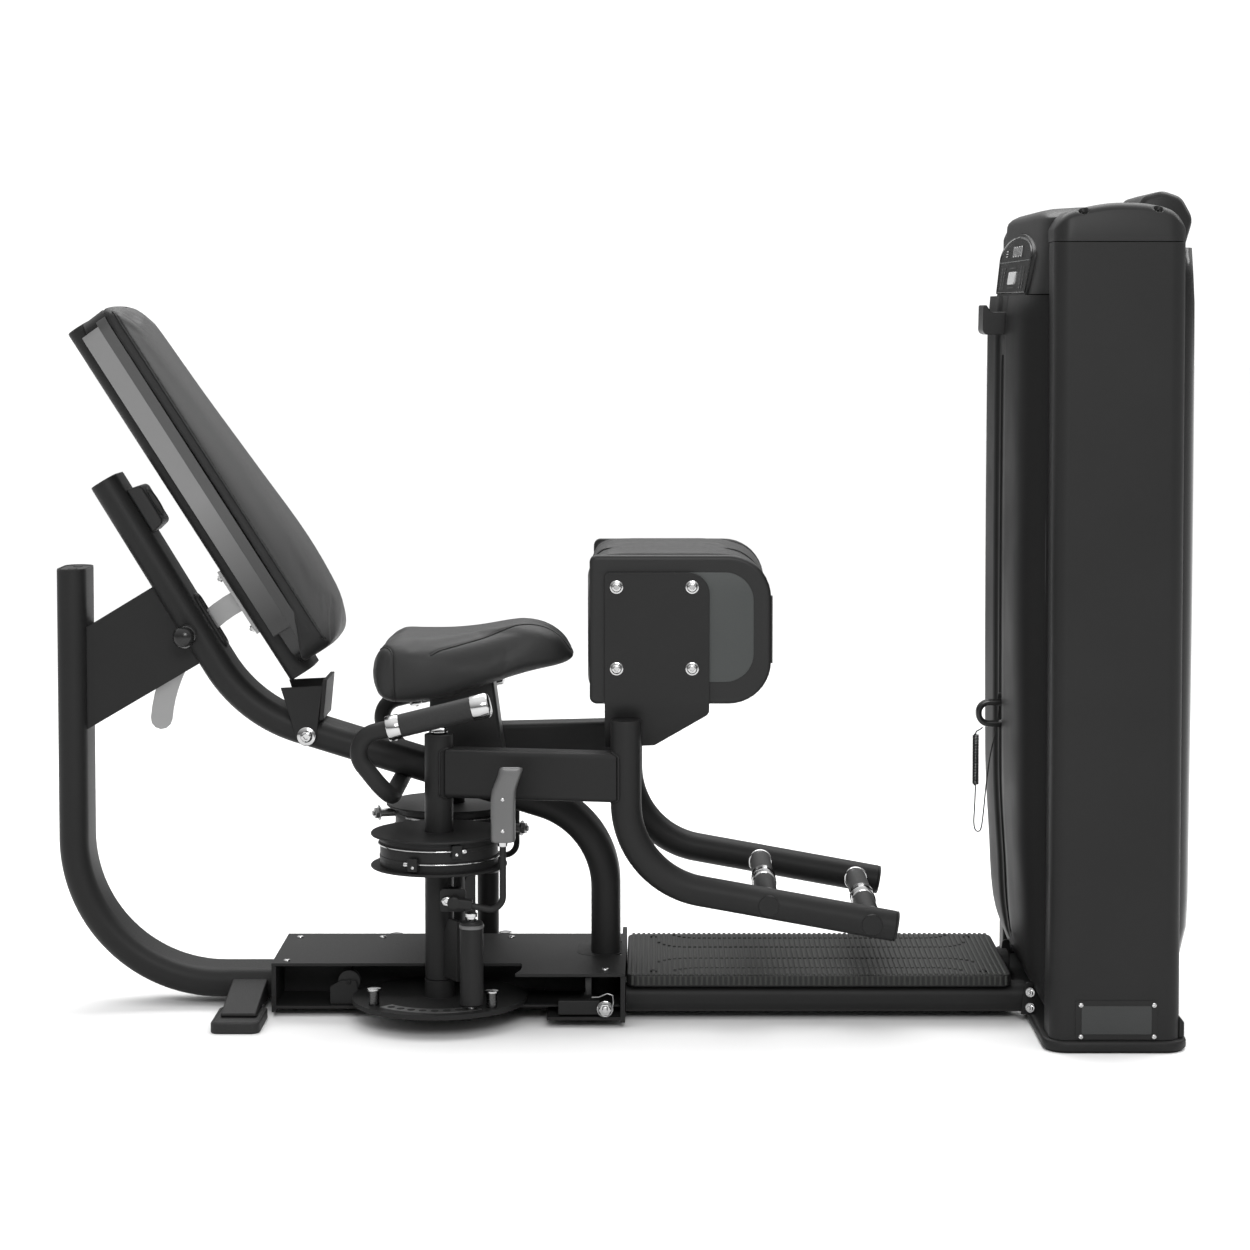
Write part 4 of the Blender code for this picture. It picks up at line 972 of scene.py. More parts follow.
def make_seat_frame():
    low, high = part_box("seat_frame_tube")
    down = (SEAT_BEND - SEAT_TOP).normalized()
    face = down.cross(SIDE)
    thick = TUBE_THICK - 0.001
    start = SEAT_TOP + down * 0.003
    path = bent([start, SEAT_BEND, SEAT_KNEE, Vector((SEAT_KNEE.x, 0, low.z))], SEAT_BENDS)
    tube = piece(
        "seat_tube",
        swept(path, oval(thick, TUBE_WIDE, TUBE_ROUND)),
        "powder_coat",
        "frame",
        ["seat_frame_tube"],
    )
    carved(tube, recline_slot())
    tube.data.set_sharp_from_angle(angle=math.radians(42))
    tube_cap("seat_tube_cap", start, -down, SIDE, thick, TUBE_WIDE, TUBE_ROUND, "frame")

    # the trim round the adjustment bar's slot, where the bar's arc meets the tube's front
    front = SEAT_TOP + face * (thick / 2)
    to_front = front - PIVOT
    middle = -to_front.dot(down)
    along = middle - math.sqrt(middle**2 - to_front.length_squared + ARC_R**2)
    spot = front + down * along
    ring = loop_around(spot + face * 0.0015, SIDE, down, 0.0135, 0.050)
    piece("slot_trim", bead(ring, 0.0042, side=face, sides=14), "black_rubber", "frame")

    # recline bumper: a block with a raised oval rim
    rest = SEAT_TOP + face * (thick / 2)
    outline = rounded([(0.033, 0.0), (0.120, 0.0), (0.114, 0.0265), (0.039, 0.0265)], [0, 0, 0.009, 0.009], 5)
    rings = []
    for y in (-0.038, 0.038):
        rings.append([rest + down * a + face * up + SIDE * y for a, up in outline])
    bumper = lofted(rings)
    piece("bumper", bumper, "black_rubber", "frame", ["recline_bumper"], edge=0.005, segments=4)
    ring = loop_around(rest + down * 0.0765 + face * 0.0262, SIDE, down, 0.027, 0.027)
    piece("bumper_rim", bead(ring, 0.0022, side=face, sides=12), "black_rubber", "frame")

    low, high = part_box("seat_tube_bracket")
    back = SEAT_TOP - face * (thick / 2 - 0.004)
    upper, lower = back + down * 0.198, back + down * 0.352
    tall = REAR_X + TUBE_THICK / 2 - 0.004
    outline = [(tall, high.z - 0.1), (upper.x, upper.z), (lower.x, lower.z), (tall, low.z)]
    outline[0] = (tall, 0.6524)
    bracket = piece(
        "bracket",
        prism(outline, "Y", low.y, high.y),
        "powder_coat",
        "frame",
        ["seat_tube_bracket"],
        edge=0.014,
        segments=6,
    )
    carved(bracket, recline_slot())


def make_pull_pin():
    spot = Vector((-0.738, 0, 0.643))
    shaft = [
        (0.005, -0.0085),
        (0.005, -0.056),
        (0.0105, -0.0562),
        (0.0105, -0.0635),
        (0.0055, -0.0650),
        (0.0055, -0.0765),
    ]
    knob = [(0.0070, -0.0705), (0.0130, -0.0725), (0.0175, -0.0765), (0.0195, -0.0825), (0.0195, -0.0890)]
    knob += [(0.0182, -0.0945), (0.0150, -0.0995), (0.0100, -0.1028), (0.0035, -0.1042)]
    piece("pull_pin_shaft", turned(shaft, spot, (0, 1, 0)), "chrome", "recline_pull_pin")
    piece(
        "pull_pin_knob",
        turned(knob, spot, (0, 1, 0)),
        "black_rubber",
        "recline_pull_pin",
        ["recline_pull_pin"],
        look="gloss_plastic",
    )
    boss = [
        (0.0180, -0.0545),
        (0.0180, -0.0565),
        (0.0150, -0.0590),
        (0.0132, -0.0592),
        (0.0130, -0.0560),
        (0.0128, -0.0548),
    ]
    collar = turned(boss, spot, (0, 1, 0), hollow=True)
    piece("pull_pin_boss", collar, "powder_coat", "frame")


def make_base():
    spots = [
        (-0.5645, 0.088),
        (-0.4188, 0.088),
        (-0.1917, 0.088),
        (-0.5645, -0.103),
        (-0.0225, -0.172),
        (-0.0225, 0.088),
    ]
    screws = [button_screw((x, y, HUB_TOP), UP, 0.0062) for x, y in spots]
    piece("cover_screws", merged(*screws), "chrome", "frame")

    piece("hub_spine", block((-0.583, -0.002, 0.0195), (-0.062, 0.002, 0.0865)), "powder_coat", "frame")
    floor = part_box("selector_disc_right")[0].z - 0.002
    piece(
        "hub_floor_wings",
        merged(*[block((-0.335, y, floor - 0.004), (0.002, y + 0.075, floor)) for y in (-0.175, 0.100)]),
        "powder_coat",
        "frame",
        edge=0.001,
    )
    # a flat black patch on the cover at the seat tube's opening stands for the shade inside it: painted shade
    hole = rounded(rect(-0.073, -0.062, 0.004, 0.062), 0.030)
    piece("tube_opening", prism(hole, "Z", HUB_TOP - 0.002, HUB_TOP + 0.0004), "black_rubber", "frame")

    # cable guide wheel under the cover, and the block with its spring and bolt at the front
    wheel = turned(
        [
            (0.006, -0.008),
            (0.0185, -0.008),
            (0.0185, -0.006),
            (0.0155, -0.003),
            (0.0155, 0.003),
            (0.0185, 0.006),
            (0.0185, 0.008),
            (0.006, 0.008),
        ],
        (-0.459, -0.098, 0.0575),
        (0, 1, 0),
    )
    piece("guide_wheel", wheel, "black_plastic", "frame")
    fork = rounded(
        [(-0.491, 0.0195), (-0.440, 0.0195), (-0.446, 0.060), (-0.472, 0.060), (-0.491, 0.050)], 0.004
    )
    piece("guide_fork", prism(fork, "Y", -0.1115, -0.1085), "powder_coat", "frame", edge=0.001)
    piece(
        "guide_wheel_pin", button_screw((-0.459, -0.1115, 0.0575), (0, -1, 0), 0.004), "powder_coat", "frame"
    )
    piece(
        "stop_block",
        block((-0.101, -0.200, 0.0215), (-0.031, -0.176, 0.046)),
        "powder_coat",
        "frame",
        edge=0.002,
    )
    spot = Vector((-0.0225, -0.2045, 0.0330))
    piece("stop_bolt", hex_bolt(spot, (0, -1, 0), 0.0104), "chrome", "frame")
    coil = []
    for k in range(49):
        turn = 2 * math.pi * k / 12
        coil.append(
            spot + Vector((0.0115 * math.cos(turn), -0.003 - 0.0006 * k / 12, 0.0115 * math.sin(turn)))
        )
    coil += [
        spot + Vector((0.014, -0.005, 0.012)),
        spot + Vector((0.013, -0.005, 0.024)),
        spot + Vector((0.004, -0.004, 0.027)),
    ]
    coil += [spot + Vector((-0.010, -0.003, 0.021)), spot + Vector((-0.022, -0.001, 0.020))]
    piece("stop_spring", bead(coil, 0.0011, closed=False, side=SIDE, sides=8), "bare_steel", "frame")


def make_platform():
    """A ribbed foot plate: ribs run across it and stop at two smooth, racetrack-shaped tracks."""
    low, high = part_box("foot_platform")
    outline = rounded(inset_box(low, high), 0.018, 8)
    base = piece(
        "platform_base",
        prism(outline, "Z", low.z, high.z - 0.0022),
        "black_plastic",
        "frame",
        ["foot_platform"],
    )
    round_edges(base, 0.003)
    pitch, wide = 0.0090, 0.0054
    count = round((high.x - low.x - 0.020) / pitch)
    middle_x, middle_y = (low.x + high.x) / 2, (low.y + high.y) / 2
    reach_x, reach_y = (high.x - low.x) / 2, (high.y - low.y) / 2
    floor_z, top_z = high.z - 0.0026, high.z
    shape = bmesh.new()
    for k in range(count + 1):
        x = low.x + 0.010 + k * (high.x - low.x - 0.020) / count
        gaps = track_gaps(x - middle_x, reach_x)
        end = reach_y - 0.0035
        stops = [-end] + [edge for gap in gaps for edge in gap] + [end]
        for y0, y1 in zip(stops[::2], stops[1::2]):
            if y1 - y0 > 0.003:
                add_rib(shape, x, middle_y + y0, middle_y + y1, wide, floor_z, top_z)
    # the ribs take the lighter rib paint: painted highlight
    piece("platform_ribs", shape, "black_plastic", "frame", look="painted_highlight_ribs")
    skirt = bmesh.new()
    for sign in (-1, 1):
        for k in range(count + 1):
            x = low.x + 0.010 + k * (high.x - low.x - 0.020) / count
            y = sign * (reach_y + 0.0002) + middle_y
            add_skirt_rib(skirt, x, y, sign, wide * 0.8, low.z + 0.003, top_z - 0.0035)
    # the skirt ribs take the lighter rib paint too: painted highlight
    piece("platform_skirt_ribs", skirt, "black_plastic", "frame", look="painted_highlight_ribs")
    slots = []
    for x in (low.x + 0.045, high.x - 0.045):
        for sign in (-1, 1):
            slots.append(button_screw((x, middle_y + sign * (reach_y - 0.030), top_z - 0.003), UP, 0.0065))
    piece("platform_screws", merged(*slots), "powder_coat", "frame")


def track_gaps(x, reach):
    """The (low, high) stretches in y that the two smooth tracks leave open at x."""
    half = 0.0042
    gaps = []
    straight = reach - 0.105
    for sign, lane, turn in ((-1, 0.045, 0.055), (1, 0.045, 0.055)):
        beyond = max(0.0, abs(x) - straight)
        if beyond < turn:
            swing = turn - math.sqrt(turn**2 - beyond**2)
            gaps.append((sign * (lane + swing), beyond / turn))
    for sign in (-1, 1):
        beyond = max(0.0, abs(x) - straight + 0.02)
        turn = 0.050
        if beyond < turn:
            swing = turn - math.sqrt(turn**2 - beyond**2)
            gaps.append((sign * (0.120 + swing * 0.85), beyond / turn))
    cuts = []
    for y, steep in sorted(gaps):
        grow = half * (1 + 2.2 * steep**3)
        cuts.append((y - grow, y + grow))
    merged_cuts = []
    for cut in cuts:
        if merged_cuts and cut[0] < merged_cuts[-1][1] + 0.002:
            merged_cuts[-1] = (merged_cuts[-1][0], max(cut[1], merged_cuts[-1][1]))
        else:
            merged_cuts.append(cut)
    return merged_cuts


def add_rib(shape, x, y0, y1, wide, floor_z, top_z):
    """One rib along Y, with a sloping end at y0 and at y1."""
    half, slope = wide / 2, 0.0009
    low_end = floor_z + 0.0004
    rings = []
    for y, top in ((y0, low_end), (y0 + slope, top_z), (y1 - slope, top_z), (y1, low_end)):
        ring = [(x - half, y, floor_z), (x - half, y, top - 0.0006), (x - half + slope, y, top)]
        ring += [(x + half - slope, y, top), (x + half, y, top - 0.0006), (x + half, y, floor_z)]
        rings.append(ring)
    add_rings(shape, rings)


def add_skirt_rib(shape, x, y, sign, wide, low_z, high_z):
    half, proud = wide / 2, 0.0011 * sign
    rings = []
    for z, out in ((low_z, 0.0), (low_z + 0.003, proud), (high_z - 0.002, proud), (high_z, proud * 0.2)):
        ring = [(x - half, y - 0.002 * sign, z), (x - half, y, z), (x - half * 0.5, y + out, z)]
        ring += [(x + half * 0.5, y + out, z), (x + half, y, z), (x + half, y - 0.002 * sign, z)]
        rings.append(ring)
    add_rings(shape, rings)


def make_beam_end():
    """Where the front beams bolt to the tower."""
    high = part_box("front_beam")[1]
    bolts = []
    for z in (0.029, 0.055):
        bolts.append(hex_bolt((0.6895, -0.178, z), (-0.5, -1, 0), 0.0062))
    pair("beam_bolts_right", merged(*bolts), "chrome", "frame")
    tubes = [
        swept([Vector((0.012, y, 0.038)), Vector((0.686, y, 0.038))], oval(0.048, 0.060, 0.020))
        for y in (-0.126, 0.126)
    ]
    piece("front_beam_tubes", merged(*tubes), "powder_coat", "frame", ["front_beam"])
    outline = [
        (high.x - 0.010, 0.016), (high.x + 0.011, 0.016), (high.x + 0.011, 0.071), (high.x - 0.002, 0.071)
    ]
    plate = prism(rounded(outline, [0.001, 0.001, 0.003, 0.006]), "Y", -0.172, -0.166)
    pair("beam_end_right", plate, "powder_coat", "frame", edge=0.001)


# ---------------------------------------------------------------- soft pieces


def puffed(obj, voxel, cap, held):
    """Swells a closed pad with a short cloth simulation and keeps held points where they are."""
    remesh = obj.modifiers.new("remesh", "REMESH")
    remesh.mode = "VOXEL"
    remesh.voxel_size = voxel
    applied(obj)
    obj.data.shade_smooth()
    rest = [vert.co.copy() for vert in obj.data.vertices]
    group = obj.vertex_groups.new(name="held")
    group.add([i for i, co in enumerate(rest) if held(co)], 1.0, "REPLACE")
    cloth = obj.modifiers.new("cloth", "CLOTH")
    settings = cloth.settings
    settings.quality = 5
    settings.use_pressure = True
    settings.uniform_pressure_force = 4
    settings.effector_weights.gravity = 0
    settings.vertex_group_mass = "held"
    cloth.point_cache.frame_end = CLOTH_STEPS
    for step in range(1, CLOTH_STEPS + 1):
        bpy.context.scene.frame_set(step)
    applied(obj)
    bpy.context.scene.frame_set(1)
    for vert, start in zip(obj.data.vertices, rest):
        moved = vert.co - start
        if moved.length > cap:
            vert.co = start + moved.normalized() * cap
    obj.vertex_groups.clear()
    smooth = obj.modifiers.new("smooth", "SMOOTH")
    smooth.factor, smooth.iterations = 0.5, 4
    finer = obj.modifiers.new("finer", "SUBSURF")
    finer.levels = finer.render_levels = 1
    applied(obj)
    obj.data.shade_smooth()
    return obj


def surface_of(obj):
    mesh = obj.data
    return BVHTree.FromPolygons(
        [v.co.copy() for v in mesh.vertices], [tuple(p.vertices) for p in mesh.polygons]
    )


def grooved(obj, lines, width, depth):
    """Pulls the skin in along each line, as a seam does."""
    tree = surface_lines(lines)
    mesh = obj.data
    normals = [v.normal.copy() for v in mesh.vertices]
    for vert, normal in zip(mesh.vertices, normals):
        _, _, distance = tree.find(vert.co)
        if distance < 3 * width:
            vert.co -= normal * depth * math.exp(-((distance / width) ** 2))


def surface_lines(lines):
    spots = []
    for line in lines:
        for a, b in zip(line, line[1:]):
            count = max(1, round((b - a).length / 0.0015))
            spots += [a.lerp(b, k / count) for k in range(count)]
    tree = KDTree(len(spots))
    for i, spot in enumerate(spots):
        tree.insert(spot, i)
    tree.balance()
    return tree


def laid_on(tree, points, lift=0.0):
    """The points moved onto the skin, lifted along its normal."""
    laid = []
    for point in points:
        spot, normal, _, _ = tree.find_nearest(Vector(point))
        laid.append(spot + normal * lift)
    return laid


def cushion_piece(name, shape, stands_for, look="black_vinyl"):
    obj = plain_object(name, shape, look)
    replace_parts(obj, stands_for)
    return obj


def back_point(s, t, y=0.0):
    return BACK_TOP + BACK_DOWN * s + BACK_OUT * t + SIDE * y


BACK_CROWN = [
    (0.0, 0.098),
    (0.012, 0.110),
    (0.03, 0.116),
    (0.20, 0.126),
    (0.36, 0.137),
    (0.51, 0.146),
    (0.62, 0.140),
    (0.66, 0.131),
    (0.68, 0.118),
    (PAD_LONG, 0.104),
]


BACK_UNDER = [(0.0, 0.0815), (0.590, 0.0815), (0.640, 0.066), (0.670, 0.051), (0.688, 0.046)]


def back_half(s, inset=0.0):
    """Half the pad's width at s, with rounded corners."""
    corner = 0.040
    near = max(0.0, min(1.0, min(s, PAD_LONG - s) / corner))
    return BACK_HALF - inset - corner * (1 - math.sqrt(1 - (1 - near) ** 2))


def back_edge(s):
    """Where the cushion's seam lies above the tube's rear face."""
    return min(0.103, between(BACK_CROWN, s) - 0.010)


def pad_stations(start, stop):
    """Places along the pad, closer together towards its rounded ends."""
    middle, reach = (start + stop) / 2, (stop - start) / 2
    return [middle - reach * math.cos(math.pi * k / 48) for k in range(49)]


def tray_layer(name, start, stop, low, high, inset_low, inset_high, look):
    """One bevelled layer of the pad's tray, between two heights above the tube."""
    rings = []
    for s in pad_stations(start, stop):
        wide_low, wide_high = back_half(s, inset_low), back_half(s, inset_high)
        section = [(-wide_low, low), (wide_low, low), (wide_high, high), (-wide_high, high)]
        rings.append([back_point(s, t, y) for y, t in section])
    return piece(name, lofted(rings), "grey_shell", "backrest", look=look, edge=0.0015)


def make_back_pad():
    """The tray under the cushion: a pale flank, a darker bevelled band and a dark core; the flank and band
    carry painted shade that darkens them down the pad.
    """
    flank = tray_layer("pad_flank", 0.024, 0.622, 0.027, 0.0640, 0.032, 0.010, "grey_shell")
    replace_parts(flank, "back_pad_shell")
    tray_layer("pad_band", 0.016, 0.650, 0.0635, 0.0830, 0.010, 0.002, "band_grey")
    tray_layer("pad_core", 0.003, 0.684, 0.036, 0.0830, 0.040, 0.004, "gloss_plastic")


def make_backrest():
    thick = TUBE_THICK - 0.001
    section = oval(thick, TUBE_WIDE, TUBE_ROUND)
    path = [back_point(0.003, thick / 2), back_point(BACK_LONG - 0.003, thick / 2)]
    piece("back_tube", swept(path, section), "powder_coat", "backrest", ["back_frame"])
    tube_cap("back_tube_cap", path[0], -BACK_DOWN, SIDE, thick, TUBE_WIDE, TUBE_ROUND, "backrest")
    tube_cap("back_tube_foot", path[1], BACK_DOWN, SIDE, thick, TUBE_WIDE, TUBE_ROUND, "backrest")
    hem = 0.017
    turns = [math.radians(a) for a in spaced(200, 340, 12)]
    outline = [(PIVOT.x + hem * math.cos(a), PIVOT.z + hem * math.sin(a)) for a in turns]
    outline += [(-0.506, 0.5565), (-0.578, 0.5530)]
    pair("hinge_plate_right", prism(outline, "Y", -0.0625, -0.0565), "powder_coat", "backrest", edge=0.0012)
    bridge = [(-0.5120, 0.498), (-0.5050, 0.498), (-0.4985, 0.5665), (-0.5060, 0.5665)]
    piece("hinge_bridge", prism(bridge, "Y", -0.0625, 0.0625), "powder_coat", "backrest", edge=0.0012)
    pin = []
    for sign in (-1, 1):
        spot = PIVOT + SIDE * sign * 0.0628
        pin.append(
            turned([(0.0155, 0), (0.0158, 0.0006), (0.0158, 0.0016), (0.0150, 0.0022)], spot, SIDE * sign)
        )
        pin.append(button_screw(spot + SIDE * sign * 0.002, SIDE * sign, 0.0105))
    pin.append(rod(PIVOT - SIDE * 0.0620, PIVOT + SIDE * 0.0620, 0.0075))
    piece("pivot_bolt", merged(*pin), "chrome", "backrest", ["backrest_pivot_pin"])

    bolts = []
    for s in (0.490, 0.592):
        for y in (-0.020, 0.020):
            bolts.append(hex_bolt(back_point(s, -0.0063, y), -BACK_OUT, 0.0060))
    piece("arc_bolts", merged(*bolts), "chrome", "backrest")
    make_back_pad()
    make_back_cushion()


def make_back_cushion():
    """The upholstered pad: sides rise to a piped edge, and the front is crowned."""
    start, stop = 0.003, PAD_LONG - 0.003
    rings = []
    for s in pad_stations(start, stop):
        half, edge = back_half(s), back_edge(s)
        rise = between(BACK_CROWN, s) - edge
        base = between(BACK_UNDER, s)
        ring = [(-half * 0.985, base), (half * 0.985, base), (half, base + 0.004)]
        for k in range(33):
            across = math.cos(math.pi * k / 32)
            ring.append((half * across, edge + rise * (1 - abs(across) ** 3.4) ** 0.8))
        ring.append((-half, base + 0.004))
        rings.append([back_point(s, t, y) for y, t in ring])
    pad = cushion_piece("back_cushion", lofted(rings), "back_pad_cushion", "painted_shade_vinyl")
    puffed(pad, 0.005, 0.004, lambda co: (co - BACK_TOP).dot(BACK_OUT) < 0.089)
    # the face above the seam takes the lighter vinyl copy and the sides the darker one: painted light on the
    # face, painted shade on the sides
    pad.data.materials.append(paint("painted_light_vinyl"))
    for polygon in pad.data.polygons:
        away = polygon.center - BACK_TOP
        polygon.material_index = int(away.dot(BACK_OUT) > back_edge(away.dot(BACK_DOWN)) + 0.0005)
    skin = surface_of(pad)
    line = []
    stations = spaced(0.012, PAD_LONG - 0.012, 110)
    line += [back_point(s, back_edge(s), -back_half(s)) for s in stations]
    line += [back_point(s, back_edge(s), back_half(s)) for s in stations[::-1]]
    seam = laid_on(skin, smooth_route(line + line[:1], 2))
    grooved(pad, [seam], 0.0026, 0.0014)
    piping = bead(laid_on(skin, seam, -0.0003), 0.0011, side=BACK_OUT, sides=8)
    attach(pad, "backrest")
    piece("back_cushion_seam", piping, "black_vinyl", "backrest")


# ---------------------------------------------------------------- seat and handles


SEAT_RIDGE = [
    (-0.418, 0.606),
    (-0.405, 0.628),
    (-0.385, 0.640),
    (-0.340, 0.640),
    (-0.290, 0.641),
    (-0.240, 0.647),
    (-0.190, 0.656),
    (-0.150, 0.660),
    (-0.118, 0.652),
    (-0.094, 0.634),
    (-0.080, 0.607),
]
SEAT_BELLY = [
    (-0.418, 0.562),
    (-0.408, 0.540),
    (-0.380, 0.529),
    (-0.300, 0.536),
    (-0.240, 0.553),
    (-0.160, 0.577),
    (-0.096, 0.592),
    (-0.080, 0.600),
]
SEAT_WIDTH = [
    (-0.418, 0.088),
    (-0.410, 0.112),
    (-0.392, 0.130),
    (-0.345, 0.139),
    (-0.305, 0.134),
    (-0.250, 0.112),
    (-0.190, 0.090),
    (-0.130, 0.076),
    (-0.098, 0.062),
    (-0.080, 0.034),
]
SEAT_SEAM = [
    (-0.316, 26),
    (-0.300, 38),
    (-0.240, 54),
    (-0.190, 66),
    (-0.147, 74),
    (-0.110, 76),
    (-0.080, 66),
]
REAR_SEAM = [
    (-0.412, 84), (-0.408, 66), (-0.396, 50), (-0.385, 34), (-0.381, 14), (-0.379, -12), (-0.378, -46)
]


def seat_point(u, turn):
    """A point of the saddle's skin at X = u: turn 0 is the side, 90 degrees the top."""
    wide = between(SEAT_WIDTH, u)
    top, low = between(SEAT_RIDGE, u), between(SEAT_BELLY, u)
    middle = low + (top - low) * 0.46
    up = math.sin(turn)
    side = math.cos(turn)
    power = 0.52 if up >= 0 else 0.42
    rise = math.copysign(abs(up) ** power, up)
    spread = math.copysign(abs(side) ** 0.52, side)
    height = middle + rise * ((top - middle) if up >= 0 else (middle - low))
    tuck = 1 - 0.10 * max(0.0, -up)
    return Vector((u, -spread * wide * tuck, height))


def make_seat():
    us = [-0.418 + 0.338 * (1 - math.cos(math.pi * k / 40)) / 2 for k in range(41)]
    turns = [2 * math.pi * k / 64 for k in range(64)]
    rings = [[seat_point(u, turn) for turn in turns] for u in us]
    pad = cushion_piece("seat_pad", lofted(rings), "seat_cushion")
    puffed(pad, 0.005, 0.005, lambda co: co.z < between(SEAT_BELLY, co.x) + 0.006)
    skin = surface_of(pad)
    lines = []
    for sign in (1, -1):
        for seam, stations in ((SEAT_SEAM, spaced(-0.316, -0.084, 60)), (REAR_SEAM, None)):
            spots = [(u, between(seam, u)) for u in stations] if stations else seam
            line = [seat_point(u, math.radians(turn)) for u, turn in spots]
            line = [Vector((spot.x, spot.y * sign, spot.z)) for spot in line]
            lines.append(laid_on(skin, smooth_route(line, 2 if stations else 12)))
    over = [seat_point(-0.412, math.radians(a)) for a in spaced(84, 96, 6)]
    lines.append(laid_on(skin, over))
    nose = [seat_point(-0.085, math.radians(a)) for a in spaced(67, 113, 24)]
    lines.append(laid_on(skin, nose))
    grooved(pad, lines, 0.0026, 0.0016)
    beads = [
        bead([point - Vector((0, 0, 0.0003)) for point in line], 0.0010, closed=False, side=UP, sides=8)
        for line in lines
    ]
    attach(pad, "frame")
    piece("seat_seams", merged(*beads), "black_vinyl", "frame")


def make_seat_post():
    """The moulded wedge between the seat tube and the seat."""
    down = (SEAT_KNEE - SEAT_BEND).normalized()
    top = SEAT_BEND + down.cross(SIDE) * (TUBE_THICK / 2 - 0.004)
    rear, nose = top + down * (0.305 / down.x), top + down * (0.441 / down.x)
    outline = [(rear.x, rear.z), (nose.x, nose.z), (-0.2165, 0.566), (-0.325, 0.545)]
    piece(
        "seat_wedge", prism(outline, "Y", -0.040, 0.040), "black_plastic", "frame", ["seat_post"], edge=0.007
    )


def make_handles():
    y = 0.215
    front = Vector((-0.2145, -y, 0.5450))
    rear = Vector((-0.3825, -y, 0.5040))
    corners = [front, Vector((-0.456, -y, 0.4860)), Vector((-0.378, -y, 0.387)), Vector((-0.378, y, 0.387))]
    corners += [Vector((-0.456, y, 0.4860)), Vector((front.x, y, front.z))]
    path = bent(corners, [0.035, 0.045, 0.045, 0.035], 6)
    piece("handle_tube", swept(path, circle(0.0145)), "powder_coat", "frame", ["handle_bar"])
    along = (front - rear).normalized()
    long = (front - rear).length
    grip = [
        (0.0150, 0.020),
        (0.0188, 0.0205),
        (0.0194, 0.026),
        (0.0194, long - 0.029),
        (0.0188, long - 0.024),
        (0.0150, long - 0.023),
    ]
    pair("grip_right", turned(grip, rear, along), "black_rubber", "frame", ["hand_grip_right"])
    ring = [
        (0.0150, 0.0), (0.0200, 0.0), (0.0210, 0.0012), (0.0210, 0.0205), (0.0203, 0.0220), (0.0188, 0.0222)
    ]
    end = [(0.0188, long - 0.0292), (0.0203, long - 0.029), (0.0210, long - 0.0275), (0.0210, long - 0.003)]
    end += [
        (0.0201, long - 0.0005), (0.0175, long + 0.0018), (0.0115, long + 0.0032), (0.0040, long + 0.0038)
    ]
    collars = merged(turned(ring, rear, along, 48), turned(end, rear, along, 48))
    pair("grip_collars_right", collars, "chrome", "frame")
    below = along.cross(SIDE).normalized()
    if below.z > 0:
        below.negate()
    screw = button_screw(rear + along * 0.011 + below * 0.0206, below, 0.0036)
    pair("grip_screw_right", screw, "chrome", "frame")


# ---------------------------------------------------------------- swinging arms


def make_arm():
    bottom = 0.0735
    profile = [
        (COLUMN_R - 0.0012, bottom),
        (COLUMN_R, bottom + 0.0012),
        (COLUMN_R, COLUMN_TOP - 0.0012),
        (COLUMN_R - 0.0012, COLUMN_TOP),
    ]
    column = turned(profile, COLUMN, sides=56)
    pair("column_right", column, "powder_coat", "right_arm", ["arm_frame_right"])

    toward = (POST - COLUMN).normalized()
    section = oval(ARM_TOP - ARM_LOW, ARM_THICK, 0.010)
    level = UP * (ARM_LOW + ARM_TOP) / 2
    across = UP.cross(toward)
    start, end = COLUMN + toward * 0.017 + level, POST - toward * 0.012 + level
    pair("arm_box_right", swept([start, end], section, across), "powder_coat", "right_arm")
    outline = oval(ARM_TOP - ARM_LOW + 0.001, ARM_THICK + 0.001, 0.0105)
    beads = []
    for centre, radius, sign in ((COLUMN, COLUMN_R, 1), (POST, BAR_R, -1)):
        ring = []
        for u, v in outline:
            reach = math.sqrt(max(0.0, radius**2 - min(abs(v), radius - 0.001) ** 2))
            ring.append(centre + toward * sign * (reach + 0.0008) + across * v + level - UP * u)
        beads.append(bead(ring, 0.0022, side=toward))
    pair("arm_welds_right", merged(*beads), "powder_coat", "right_arm")

    top = Vector((POST.x, POST.y, 0.518))
    path = bent([top, Vector((POST.x, POST.y, 0.254)), BAR_END], [BAR_BEND])
    bar = piece("foot_bar_right", swept(path, circle(BAR_R, 48)), "powder_coat", "right_arm", edge=0.0025)
    both(bar)
    down = (path[-1] - path[-2]).normalized()
    plug = [
        (BAR_R * 0.90, -0.002),
        (BAR_R * 0.99, 0.0002),
        (BAR_R * 0.99, 0.0022),
        (BAR_R * 0.93, 0.0034),
        (BAR_R * 0.70, 0.0036),
        (BAR_R * 0.64, 0.0022),
    ]
    pair("foot_bar_cap_right", turned(plug, BAR_END, down), "black_plastic", "right_arm")
    make_pegs()
    make_housing()
    cap = button_screw(COLUMN + UP * 0.4905, UP, 0.016)
    pair("column_cap_right", cap, "chrome", "frame", ["pivot_spindle_right"])


